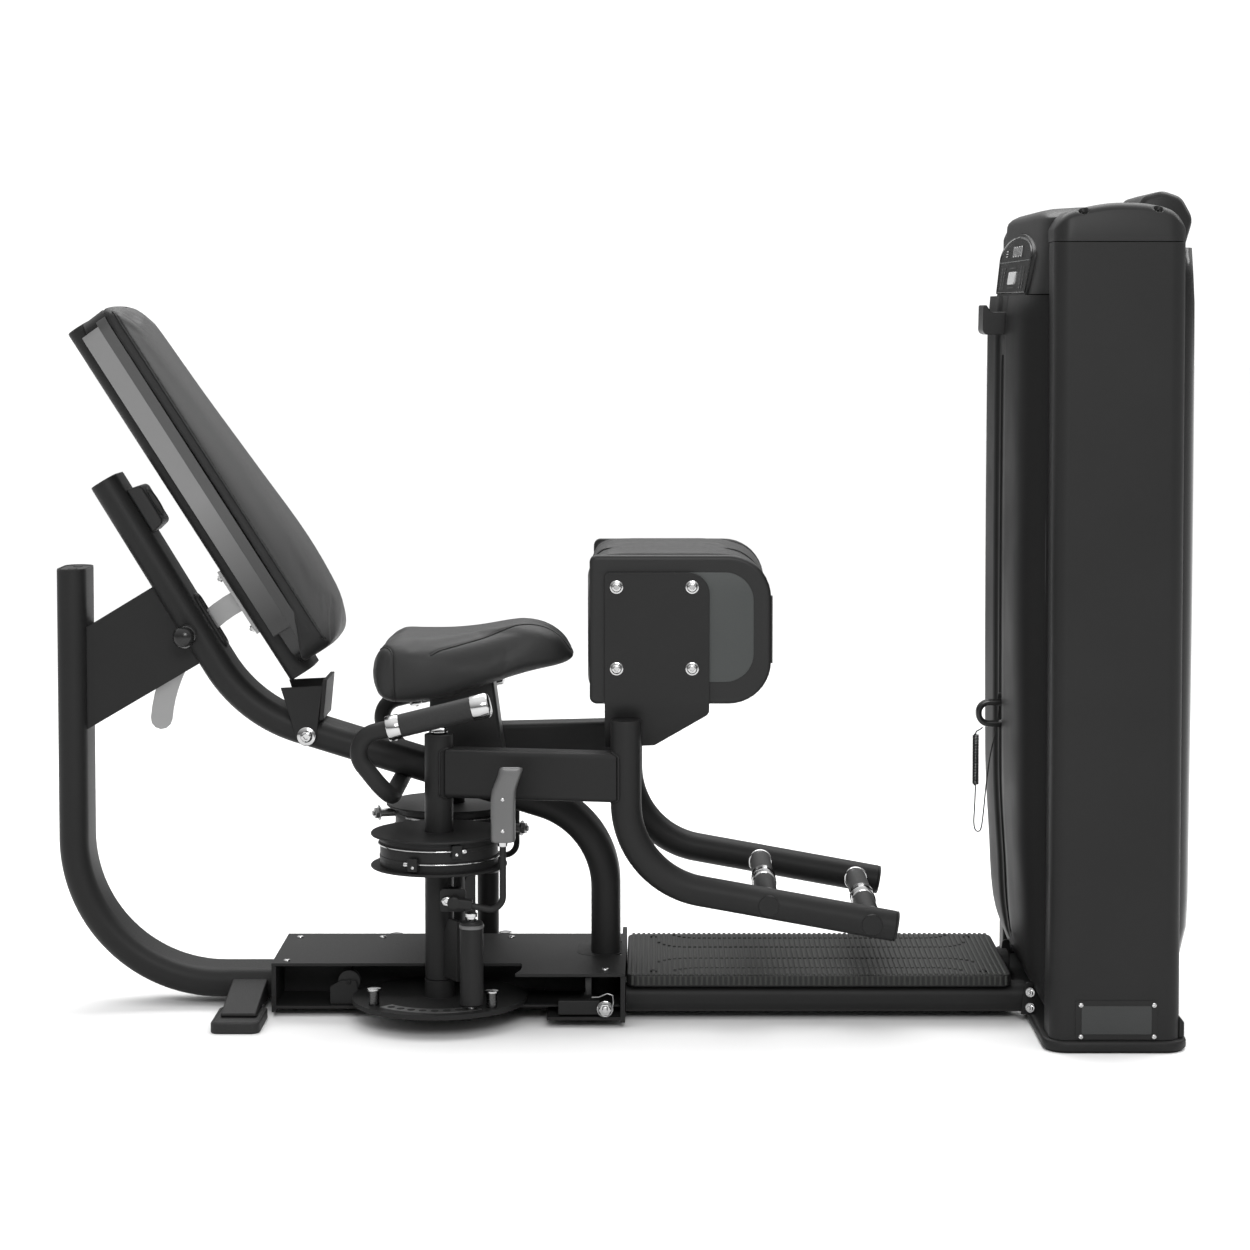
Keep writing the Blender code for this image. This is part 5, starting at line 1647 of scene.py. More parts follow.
def make_pegs():
    sleeves, rings, plugs = [], [], []
    inner, root = -0.0075, POST.y + BAR_R * 0.93
    long = inner - root
    for x, z in PEGS:
        spot = Vector((x, root, z))
        sleeves.append(
            turned(
                [(0.0160, 0.001), (0.0186, 0.004), (0.0186, long - 0.020), (0.0165, long - 0.018)], spot, SIDE
            )
        )
        ring = [
            (0.0165, 0.0),
            (0.0208, 0.0004),
            (0.0214, 0.0020),
            (0.0214, 0.0050),
            (0.0204, 0.0066),
            (0.0186, 0.0070),
        ]
        rings.append(turned(ring, spot, SIDE))
        bands = [(0.0170, long - 0.0215)]
        for k in range(3):
            at = long - 0.0210 + 0.0062 * k
            bands += [(0.0196, at), (0.0212, at + 0.0012), (0.0212, at + 0.0042), (0.0200, at + 0.0055)]
        bands += [(0.0186, long - 0.0012), (0.0150, long - 0.0002), (0.0060, long)]
        rings.append(turned(bands, spot, SIDE, 48))
        disc = [(0.0172, 0.010), (0.0172, -0.0002), (0.0166, -0.0010), (0.0060, -0.0012)]
        plugs.append(turned(disc, Vector((x, POST.y - BAR_R, z)), SIDE))
    pair("peg_sleeves_right", merged(*sleeves), "black_rubber", "right_arm")
    pair("peg_rings_right", merged(*rings), "chrome", "right_arm")
    pair("peg_plugs_right", merged(*plugs), "powder_coat", "right_arm")


def make_housing():
    body = [(0.0170, 0.050), (HOUSING_R, 0.0525), (HOUSING_R, 0.186), (0.0188, 0.1885), (0.0120, 0.190)]
    pair("plunger_housing_right", turned(body, HOUSING), "powder_coat", "right_arm")
    ring = [
        (0.0150, 0.1785),
        (0.0202, 0.1788),
        (0.0205, 0.1796),
        (0.0205, 0.1838),
        (0.0202, 0.1846),
        (0.0150, 0.1848),
    ]
    pair("housing_ring_right", turned(ring, HOUSING, hollow=True), "silver_plastic", "right_arm")
    outward = (HOUSING - COLUMN).normalized()
    level = UP.cross(outward)
    outline = rounded(
        [(0.019, 0.080), (0.070, 0.080), (0.070, 0.182), (0.040, 0.182), (0.019, 0.150)],
        [0, 0, 0, 0.012, 0.004],
    )
    rings = []
    for shift in (-0.004, 0.004):
        rings.append([COLUMN + outward * a + level * shift + UP * z for a, z in outline])
    pair("housing_web_right", lofted(rings), "powder_coat", "right_arm", edge=0.001)
    ear = rect(-0.294, 0.203, -0.252, 0.241)
    pair(
        "lever_ear_right",
        prism(rounded(ear, 0.005), "Y", -0.2370, -0.2315),
        "powder_coat",
        "right_arm",
        edge=0.001,
    )
    rib = rect(-0.285, 0.204, -0.262, 0.234)
    pair(
        "ear_bracket_right",
        prism(rounded(rib, 0.003), "Y", -0.2315, -0.176),
        "powder_coat",
        "right_arm",
        edge=0.001,
    )
    pair("ear_bolt_right", button_screw((-0.283, -0.2372, 0.221), (0, -1, 0), 0.0092), "chrome", "right_arm")


def make_drum():
    rows = [
        (COLUMN_R + 0.001, DRUM_LOW),
        (FLANGE_R - 0.001, DRUM_LOW),
        (FLANGE_R, DRUM_LOW + 0.0012),
        (FLANGE_R, DRUM_LOW + 0.003),
        (FLANGE_R - 0.001, DRUM_LOW + 0.004),
    ]
    rows += [
        (DRUM_R, DRUM_LOW + 0.004),
        (DRUM_R, 0.279),
        (DRUM_R + 0.001, 0.2795),
        (DRUM_R + 0.001, 0.286),
        (DRUM_R, 0.2865),
    ]
    rows += [(DRUM_R, 0.3015), (DRUM_R + 0.001, 0.302), (DRUM_R + 0.001, 0.308), (DRUM_R, 0.3085)]
    rows += [
        (DRUM_R, DRUM_TOP - 0.004),
        (FLANGE_R - 0.001, DRUM_TOP - 0.004),
        (FLANGE_R, DRUM_TOP - 0.003),
        (FLANGE_R, DRUM_TOP - 0.0012),
    ]
    rows += [(FLANGE_R - 0.001, DRUM_TOP), (COLUMN_R + 0.001, DRUM_TOP)]
    pair(
        "drum_right",
        turned(rows, COLUMN, sides=96, hollow=True),
        "powder_coat",
        "right_arm",
        ["sync_drum_right"],
    )

    blocks, balls = [], []
    for turn, z, way in ((-70, 0.305, 1), (-110, 0.283, -1)):
        angle = math.radians(turn)
        out = Vector((math.cos(angle), math.sin(angle), 0))
        along = UP.cross(out) * way
        spot = COLUMN + out * (DRUM_R + 0.002) + UP * z
        rings = []
        for reach in (-0.004, 0.0085):
            ring = [
                spot + out * reach + along * a + UP * b
                for a, b in rounded(rect(-0.0085, -0.011, 0.0085, 0.011), 0.002)
            ]
            rings.append(ring)
        blocks.append(lofted(rings))
        balls.append(
            turned(
                [(0.0015, 0.0), (0.0042, 0.001), (0.0052, 0.0045), (0.0042, 0.0080), (0.0014, 0.0094)],
                spot + out * 0.003 + along * 0.0085,
                along,
                20,
            )
        )
        balls.append(button_screw(spot + out * 0.0085 - along * 0.001 - UP * 0.004, out, 0.0030))
    pair("cable_anchors_right", merged(*blocks), "powder_coat", "right_arm", edge=0.0008)
    pair("cable_balls_right", merged(*balls), "chrome", "right_arm")


def make_disc():
    posts, spots = [], ((-0.406, -0.219), (-0.210, -0.235))
    for x, y in spots:
        rows = [(0.0098, 0.0676), (0.0112, 0.0682), (0.0116, 0.0694), (0.0112, 0.0716), (0.0064, 0.0726)]
        posts.append(turned(rows, Vector((x, y, 0))))
    pair("stop_heads_right", merged(*posts), "chrome", "right_disc")
    posts = [rod((x, y, 0.0438), (x, y, 0.0680), 0.0088) for x, y in spots]
    pair("stop_posts_right", merged(*posts), "bare_steel", "right_disc", look="dark_steel")


def make_index_sector():
    """The zinc-plated sector between the stop posts, with its row of index holes."""

    def around(radius, degrees):
        turn = math.radians(degrees)
        return (COLUMN.x + radius * math.cos(turn), COLUMN.y + radius * math.sin(turn))

    outline = [around(0.128, a) for a in spaced(-137, -53, 24)] + [
        around(0.101, a) for a in spaced(-53, -137, 24)
    ]
    sector = prism(outline, "Z", 0.0432, 0.0444)
    pair("index_sector_right", sector, "bare_steel", "right_disc")
    holes = []
    for a in range(-130, -60, 10):
        x, y = around(0.1148, a)
        holes.append(rod((x, y, 0.0438), (x, y, 0.0447), 0.0066, 20))
    pair("index_holes_right", merged(*holes), "black_rubber", "right_disc")


def make_lever():
    x, y, z = LEVER
    corners = [
        Vector((x - 0.006, y, z)),
        Vector((HOUSING.x + 0.002, y, 0.2150)),
        Vector((-0.190, y, 0.204)),
        Vector((-0.190, y, 0.330)),
    ]
    rod_part = swept(bent(corners, [0.02, 0.022], 5), circle(0.0055, 24))
    pair("lever_rod_right", rod_part, "powder_coat", "right_lever", ["start_lever_right"])
    boss = [(0.0085, -0.0095), (0.0105, -0.0085), (0.0105, 0.0085), (0.0085, 0.0095)]
    head = merged(
        turned(boss, LEVER, SIDE),
        swept([(x - 0.004, y, z), (x + 0.030, y, z - 0.004)], oval(0.016, 0.017, 0.003)),
    )
    pair("lever_boss_right", head, "powder_coat", "right_lever", edge=0.001)

    # the T-handle: a flat oval body that leans forward and ends in a dished top
    def ring(height, middle, half_long, half_deep):
        outline = rounded(
            rect(-half_long, -half_deep, half_long, half_deep), min(half_long, half_deep) * 0.62, 6
        )
        return [Vector((middle + a, y + b, height)) for a, b in outline]

    rows = [
        (0.3215, -0.1895, 0.0150, 0.0110),
        (0.3225, -0.1895, 0.0185, 0.0130),
        (0.3260, -0.1895, 0.0202, 0.0140),
        (0.3600, -0.1895, 0.0202, 0.0140),
        (0.3950, -0.1892, 0.0202, 0.0138),
        (0.4080, -0.1878, 0.0198, 0.0138),
        (0.4200, -0.1835, 0.0190, 0.0138),
        (0.4330, -0.1785, 0.0188, 0.0138),
        (0.4400, -0.1768, 0.0192, 0.0138),
        (0.4430, -0.1763, 0.0186, 0.0130),
        (0.4438, -0.1763, 0.0168, 0.0112),
        (0.4420, -0.1763, 0.0146, 0.0092),
    ]
    pair("lever_grip_right", lofted([ring(*row) for row in rows]), "silver_plastic", "right_lever")
    ferrule = [(0.0056, 0.3140), (0.0078, 0.3145), (0.0082, 0.3160), (0.0082, 0.3218)]
    pair("lever_ferrule_right", turned(ferrule, (-0.190, y, 0)), "chrome", "right_lever")
    screws = [button_screw((-0.1895, y - 0.0139, z1), (0, -1, 0), 0.0036) for z1 in (0.3415, 0.3940)]
    pair("lever_screws_right", merged(*screws), "chrome", "right_lever")

    pin = [
        (0.0058, 0.0450),
        (0.0058, 0.1905),
        (0.0090, 0.1908),
        (0.0094, 0.1925),
        (0.0070, 0.1940),
        (0.0070, 0.1965),
        (0.0098, 0.1975),
        (0.0098, 0.2030),
        (0.0070, 0.2050),
    ]
    pair("plunger_right", turned(pin, HOUSING), "chrome", "right_plunger", ["start_plunger_right"])


# ---------------------------------------------------------------- thigh pads


def pad_outline(low, high, inset):
    corners = side_rect(low, high, inset)
    radii = [max(0.004, 0.012 - inset), 0.071 - inset, 0.071 - inset, max(0.004, 0.012 - inset)]
    return rounded(corners, radii, 10)


def make_pad_shell():
    low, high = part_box("pad_shell_right")
    rows = [
        (0.0090, low.y + 0.0006),
        (0.0055, low.y + 0.0004),
        (0.0018, low.y + 0.0022),
        (0.0, low.y + 0.0060),
        (0.0, high.y - 0.0015),
        (0.0015, high.y),
    ]
    rings = [[Vector((x, y, z)) for x, z in pad_outline(low, high, inset)] for inset, y in rows]
    pair("thigh_shell_right", lofted(rings), "black_plastic", "right_arm", ["pad_shell_right"])
    panel_low, panel_high = Vector((-0.0175, 0, 0.579)), Vector((0.225, 0, 0.762))
    rows = [(0.0, low.y + 0.0006), (0.0002, low.y - 0.0002), (0.0016, low.y - 0.0007)]
    rings = []
    for inset, y in rows:
        outline = rounded(side_rect(panel_low, panel_high, inset), [0.006, 0.048, 0.048, 0.006], 10)
        rings.append([Vector((x, y, z)) for x, z in outline])
    pair("thigh_panel_right", lofted(rings), "black_plastic", "right_arm", look="panel_grey")
    strip = block((high.x - 0.001, low.y + 0.004, 0.610), (high.x + 0.0025, high.y - 0.002, 0.722))
    pair("thigh_strip_right", strip, "black_plastic", "right_arm", look="gloss_plastic", edge=0.0008)


def make_pad_plate():
    """The mounting plate, folded inwards below the pad."""
    fold, lean = 0.536, 0.34
    outline = rounded(
        [(-0.023, 0.4665), (0.060, 0.4700), (0.151, 0.525), (0.1515, 0.762), (-0.023, 0.762)],
        [0.001, 0.012, 0.012, 0.036, 0.008],
        8,
    )
    shape = prism(outline, "Y", -0.1963, -0.1903)
    bmesh.ops.bisect_plane(
        shape,
        geom=shape.verts[:] + shape.edges[:] + shape.faces[:],
        plane_co=(0, 0, fold),
        plane_no=(0, 0, 1),
    )
    bmesh.ops.bisect_plane(
        shape,
        geom=shape.verts[:] + shape.edges[:] + shape.faces[:],
        plane_co=(0, 0, fold + 0.012),
        plane_no=(0, 0, 1),
    )
    for vert in shape.verts:
        under = max(0.0, fold + 0.012 - vert.co.z)
        vert.co.y += lean * under if under > 0.013 else lean * under * 0.5
    pair("pad_bracket_right", shape, "powder_coat", "right_arm", ["pad_plate_right"], edge=0.0014)
    screws, washers = [], []
    for x in (-0.003, 0.1225):
        for z in (0.602, 0.738):
            washers.append(
                turned(
                    [(0.0104, 0), (0.0110, 0.0004), (0.0110, 0.0010), (0.0104, 0.0014)],
                    (x, -0.1963, z),
                    (0, -1, 0),
                )
            )
            screws.append(button_screw((x, -0.1976, z), (0, -1, 0), 0.0088))
    pair("pad_screws_right", merged(*screws, *washers), "chrome", "right_arm")


def make_pad_cushion():
    """The upholstered block: straight sides, a softly crowned inner face and a seam around it."""
    low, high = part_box("pad_cushion_right")
    deep = high.y - low.y
    face = low.y + deep - 0.026
    rows = [
        (0.0035, low.y + 0.0004),
        (0.001, low.y + 0.006),
        (0.0, low.y + 0.03),
        (-0.0005, low.y + 0.09),
        (0.001, face),
        (0.004, face + 0.010),
    ]
    rows += [(0.012, face + 0.018), (0.026, face + 0.0225), (0.046, face + 0.0245), (0.066, face + 0.025)]
    rings = []
    for inset, y in rows:
        corners = side_rect(low, high, inset)
        radii = [
            max(0.008, 0.026 - inset * 0.3),
            max(0.010, 0.072 - inset),
            max(0.010, 0.072 - inset),
            max(0.008, 0.026 - inset * 0.3),
        ]
        rings.append([Vector((x, y, z)) for x, z in rounded(corners, radii, 10)])
    pad = cushion_piece("thigh_cushion_right", lofted(rings), "pad_cushion_right")
    puffed(pad, 0.005, 0.004, lambda co: co.y < low.y + 0.014)
    skin = surface_of(pad)
    lines = []
    for y, inset in ((low.y + 0.010, 0.0), (face + 0.004, 0.001)):
        corners = side_rect(low, high, inset)
        outline = rounded(corners, [0.026, 0.071, 0.071, 0.026], 14)
        line = []
        for (x0, z0), (x1, z1) in zip(outline, outline[1:] + outline[:1]):
            count = max(1, round(math.hypot(x1 - x0, z1 - z0) / 0.006))
            line += [
                Vector((x0 + (x1 - x0) * k / count, y, z0 + (z1 - z0) * k / count)) for k in range(count)
            ]
        lines.append(laid_on(skin, line))
    grooved(pad, [line + line[:1] for line in lines], 0.0028, 0.0015)
    seams = piece(
        "thigh_seams_right",
        merged(*[bead(line, 0.0011, side=SIDE, sides=8) for line in lines]),
        "black_vinyl",
        "right_arm",
    )
    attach(pad, "right_arm")
    for cushion in both(pad):
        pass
    both(seams)


def rope_path(z, start, stop):
    """Round the right drum from one angle to another, at height z."""
    radius = ROPE_TURN_R
    path = []
    for k in range(61):
        turn = math.radians(start + (stop - start) * k / 60)
        path.append(Vector((COLUMN.x + radius * math.cos(turn), COLUMN.y + radius * math.sin(turn), z)))
    return path


def make_cables():
    """Two steel ropes that tie the drums together; each end is held by a block on a drum."""
    lean = math.degrees(math.acos(ROPE_TURN_R / abs(COLUMN.y)))
    for name, z, sign, block in (("upper", 0.305, 1, 290), ("lower", 0.283, -1, 250)):
        leaves = 90 - lean * sign
        near = rope_path(z, leaves + sign * 100, leaves)
        far = [Vector((2 * COLUMN.x - p.x, -p.y, z)) for p in near[::-1]]
        rope = bead(near + far, ROPE_R, closed=False, side=UP, sides=12)
        piece(f"sync_rope_{name}", rope, "bare_steel", "frame", [f"sync_cable_{name}"])
        held = block if sign > 0 else block - 360
        wound = rope_path(z, held, leaves + sign * 60)
        piece(
            f"wound_rope_{name}_right",
            bead(wound, ROPE_R, closed=False, side=UP, sides=12),
            "chrome",
            "right_arm",
        )
        wound = [Vector((2 * COLUMN.x - p.x, -p.y, z)) for p in wound]
        piece(
            f"wound_rope_{name}_left",
            bead(wound, ROPE_R, closed=False, side=UP, sides=12),
            "chrome",
            "left_arm",
        )
    shapes = []
    for x, y, z, way in ((-0.428, 0.138, 0.305, -1), (-0.176, 0.130, 0.2790, 1)):
        shapes.append(hex_bolt((x, y, z), (way, -0.35, 0), 0.0105))
        shapes.append(rod((x - way * 0.026, y + 0.009, z), (x + way * 0.001, y, z), 0.0075, 20))
    piece("tension_bolts", merged(*shapes), "bare_steel", "left_arm")


# ---------------------------------------------------------------- tower


def plan(y, half, edge, depth):
    """Where a shroud stands in X at y: a broad, nearly flat front with rounded shoulders."""
    share = min(1.0, abs(y) / half)
    return edge + depth * (1 - share**9) ** 0.42


def shroud_columns():
    outer = [
        1.0, 0.998, 0.99, 0.975, 0.95, 0.92, 0.89, 0.85, 0.80, 0.72, 0.6, 0.45, 0.3, 0.212, 0.196, 0.180, 0.1
    ]
    edge = SLOT_HALF / SHROUD_HALF
    return [-share for share in outer] + [-edge, edge] + outer[::-1]


def make_shrouds():
    lean = [(0.050, 0.006), (0.062, 0.012), (0.134, 0.038), (0.255, 0.048), (0.410, 0.056), (1.15, 0.056)]
    lean.append((1.221, 0.051))
    levels = spaced(0.050, SLOT_LOW, 8) + spaced(SLOT_LOW, 0.41, 14)[1:] + spaced(0.41, SLOT_HIGH, 12)[1:] + [
        1.15, 1.18, 1.221
    ]

    def face(v, z):
        sunk = 0.005 * max(0.0, min(1.0, (0.212 - abs(v)) / 0.032)) * max(0.0, min(1.0, (z - 0.09) / 0.05))
        depth = sunk - between(lean, z)
        return Vector((plan(v * SHROUD_HALF, SHROUD_HALF, SHROUD_EDGE, depth), v * SHROUD_HALF, z))

    edge = SLOT_HALF / SHROUD_HALF
    shape = grid(shroud_columns(), levels, face, lambda v, z: abs(v) < edge and SLOT_LOW < z < SLOT_HIGH)
    front = piece("front_cover", shape, "black_plastic", "frame", ["front_shroud"], look="cover_plastic")
    thicken(front, 1.0)

    # a pressed rim round the slot, and the rounded flange along each side of the cover
    rims = []
    for sign in (-1, 1):
        rims.append([face(sign * edge, z) + Vector((-0.0006, 0, 0)) for z in spaced(SLOT_LOW, SLOT_HIGH, 40)])
    shape = merged(*[bead(line, 0.0018, closed=False, side=SIDE, sides=8) for line in rims])
    piece("slot_rim", shape, "black_plastic", "frame")
    bow = [(0.20, 0.704), (0.40, 0.699), (0.70, 0.696), (1.00, 0.697), (1.12, 0.701), (1.20, 0.707)]
    line = [Vector((between(bow, z), -SHROUD_HALF + 0.0035, z)) for z in spaced(0.20, 1.20, 40)]
    pair(
        "cover_flange_right",
        bead(line, 0.0050, closed=False, side=SIDE, sides=12),
        "black_plastic",
        "frame",
        look="band_grey",
    )

    bulge = [(0.140, 0.024), (0.170, 0.036), (0.300, 0.040), (1.200, 0.042), (1.298, 0.036)]

    def back(v, z):
        return Vector((plan(v * SHROUD_HALF, SHROUD_HALF, 0.905, between(bulge, z)), v * SHROUD_HALF, z))

    rear = piece(
        "rear_cover",
        grid(shroud_columns(), spaced(0.140, 1.298, 26), back),
        "black_plastic",
        "frame",
        ["rear_shroud"],
        look="gloss_plastic",
    )
    thicken(rear, -1.0)


def thicken(obj, offset):
    """Gives a moulded cover its wall: offset says on which side of the sheet."""
    step = obj.modifiers.new("skin", "SOLIDIFY")
    step.thickness = COVER_WALL
    step.offset = offset


CONSOLE_FRONT = [(1.222, 0.039), (1.257, 0.033), (1.300, 0.027), (1.345, 0.0225)]
POD_LOW, POD_ARCH, POD_TOP, POD_HALF = 1.174, 1.285, 1.3265, 0.225
GLASS_LOW, GLASS_TOP = 1.2265, 1.3205


def console_section(v):
    """The console in profile at v: up its leaning front, round the top and back into the cap."""
    y = v * (SHROUD_HALF - 0.001)
    points = []
    for z in spaced(1.2225, 1.345, 12):
        front = plan(y, SHROUD_HALF - 0.001, SHROUD_EDGE, -between(CONSOLE_FRONT, z))
        points.append(Vector((front, y, z)))
    roof = [
        (front + 0.002, 0.0070), (front + 0.007, 0.0125), (front + 0.015, 0.0165), (front + 0.029, 0.0192)
    ]
    roof += [(0.762, 0.0218), (0.800, 0.0228), (0.800, 0.0160), (0.750, 0.0110)]
    kept = 1 - 0.85 * abs(v) ** 8
    points += [Vector((x, y, 1.345 + rise * kept)) for x, rise in roof]
    return points + [Vector((0.750, y, 1.2225))]


def pod_half(z, low_half, top):
    """Half the pod's width at z: it widens upwards and ends in an arch."""
    if z < POD_ARCH:
        return low_half + (POD_HALF - 0.190) * (z - POD_LOW) / (POD_ARCH - POD_LOW)
    return (low_half + POD_HALF - 0.190) * math.sqrt(max(0.02, 1 - ((z - POD_ARCH) / (top - POD_ARCH)) ** 2))


def pod_point(y, z, lift=0.0):
    return Vector((0.6865 - (1.335 - z) * 0.145 - lift, y, z))


def make_console():
    sections = [console_section(v) for v in shroud_columns()]
    console = piece("console_body", lofted(sections), "black_plastic", "frame", ["display_console"])
    round_edges(console, 0.0015)

    # a planar pod carries the display and, below it, the hook
    rings = []
    for z in spaced(POD_LOW, POD_ARCH, 10) + arch_levels(POD_TOP):
        half, front = pod_half(z, 0.190, POD_TOP), pod_point(0, z).x
        corners = rect(front, -half, 0.712, half)
        rings.append([Vector((x, y, z)) for x, y in rounded(corners, [0.005, 0, 0, 0.005])])
    piece("console_pod", lofted(rings), "black_plastic", "frame")
    line = [pod_point(y, 1.2105, 0.0002) for y in spaced(-0.165, 0.165, 12)]
    piece(
        "pod_groove",
        bead(line, 0.0009, closed=False, side=UP, sides=8),
        "black_plastic",
        "frame",
        look="gloss_plastic",
    )

    rows = spaced(GLASS_LOW, POD_ARCH, 10) + arch_levels(GLASS_TOP)
    shape = grid(
        rows, spaced(-1, 1, 12), lambda z, k: pod_point(k * pod_half(z, 0.184, GLASS_TOP), z, 0.0008)
    )
    piece("display_glass", shape, "black_plastic", "frame", look="glass")
    edge = [pod_point(-pod_half(z, 0.184, GLASS_TOP), z, 0.0008) for z in rows]
    edge += [pod_point(pod_half(z, 0.184, GLASS_TOP), z, 0.0008) for z in rows[::-1]]
    piece(
        "display_frame",
        bead(edge, 0.0016, side=SIDE, sides=10),
        "black_plastic",
        "frame",
        look="gloss_plastic",
    )
    line = [pod_point(y, 1.2795, 0.0012) for y in spaced(-0.208, 0.208, 12)]
    piece(
        "display_rule",
        bead(line, 0.0009, closed=False, side=UP, sides=8),
        "black_plastic",
        "frame",
        look="panel_grey",
    )
    make_legend()


def arch_levels(top):
    """Heights from the arch's foot to its crown, closer together near the crown."""
    return [POD_ARCH + (top - POD_ARCH) * math.sin(math.pi / 2 * k / 12) for k in range(1, 13)]


def bar_on_console(y0, y1, z0, z1):
    """A thin raised bar on the display, between two places across it and two heights."""
    shape = bmesh.new()
    corners = rect(y0, z0, y1, z1)
    shape.faces.new([shape.verts.new(pod_point(y, z, 0.0024)) for y, z in corners])
    return shape


def make_legend():
    """Generic readout: seven-segment zeros, a small unit mark, side bars and a blank button."""
    bars = []
    wide, tall, line, foot = 0.022, 0.018, 0.0020, 1.287
    for k in range(4):
        left = -0.095 + k * 0.033
        bars.append(bar_on_console(left, left + wide, foot, foot + line))
        bars.append(bar_on_console(left, left + wide, foot + tall - line, foot + tall))
        for y in (left, left + wide - 0.005):
            bars.append(bar_on_console(y, y + 0.005, foot, foot + tall))
    for z in (1.289, 1.2935, 1.298):
        bars.append(bar_on_console(0.100, 0.128, z, z + 0.0015))
    piece("display_digits", merged(*bars), "silver_plastic", "frame", look="legend")
    bars = []
    for y in (-0.150, -0.118, 0.118, 0.150):
        for z in spaced(1.233, 1.266, 5):
            bars.append(bar_on_console(y - 0.005, y + 0.005, z, z + 0.0045))
    for z in (1.2340, 1.2675):
        bars.append(bar_on_console(-0.045, 0.045, z, z + 0.0013))
    piece("display_marks", merged(*bars), "silver_plastic", "frame", look="silver_plastic")
    button = [pod_point(y, z, 0.0034) for y, z in rounded(rect(-0.045, 1.2405, 0.045, 1.2620), 0.004)]
    base = [p + Vector((0.003, 0, 0)) for p in button]
    piece("display_button", lofted([base, button]), "silver_plastic", "frame", look="legend")


def make_hook():
    low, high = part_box("accessory_hook")
    outline = [(low.x, 1.1545), (0.6680, 1.1545), (0.6680, 1.1935), (0.6335, 1.1935), (0.6255, 1.2050)]
    outline += [(low.x + 0.001, 1.2055)]
    shape = prism(rounded(outline, [0.009, 0, 0, 0.009, 0.002, 0.003]), "Y", low.y * 1.3, high.y * 1.3)
    piece("hook_ledge", shape, "black_plastic", "frame", ["accessory_hook"], edge=0.002)


def make_tower():
    low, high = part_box("tower_side_right")
    corners = inset_box(low, high)
    outline = rounded(corners, [0.026, 0.026, 0.004, 0.004], 12)
    side = piece(
        "tower_post_right",
        prism(outline, "Z", low.z, high.z - 0.0008),
        "powder_coat",
        "frame",
        ["tower_side_right"],
        edge=0.0012,
    )
    both(side)

    plate = rounded(rect(0.738, 0.0225, 0.871, 0.0855), 0.004)
    inner = rounded(rect(0.748, 0.031, 0.861, 0.077), 0.003)
    pair(
        "access_plate_right",
        prism(plate, "Y", low.y - 0.0014, low.y + 0.002),
        "powder_coat",
        "frame",
        edge=0.0006,
    )
    pair(
        "access_panel_right",
        prism(inner, "Y", low.y - 0.0020, low.y),
        "powder_coat",
        "frame",
        look="panel_dark",
        edge=0.0004,
    )
    screws = [
        button_screw((x, low.y - 0.0014, z), (0, -1, 0), 0.0042)
        for x in (0.747, 0.865)
        for z in (0.027, 0.0785)
    ]
    pair("access_screws_right", merged(*screws), "chrome", "frame")

    base_low, base_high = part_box("tower_base_plate")
    corners = inset_box(base_low, base_high)
    rows = [
        (0.006, 0.0),
        (0.006, 0.0035),
        (0.0015, 0.0038),
        (0.0, 0.006),
        (0.0, 0.0155),
        (0.0015, 0.0185),
        (0.0045, 0.0200),
        (0.010, 0.0203),
    ]
    rings = []
    for inset, z in rows:
        outline = rounded(inset_box(base_low, base_high, inset), 0.040 - inset, 10)
        rings.append([Vector((x, y, z)) for x, y in outline])
    piece("base_plate", lofted(rings), "powder_coat", "frame", ["tower_base_plate"])
    bump = rounded([(0.9085, 0.0205), (0.917, 0.0205), (0.917, 0.046), (0.9085, 0.056)], [0, 0.003, 0.006, 0])
    pair("base_gusset_right", prism(bump, "Y", -0.352, -0.300), "powder_coat", "frame", edge=0.0015)


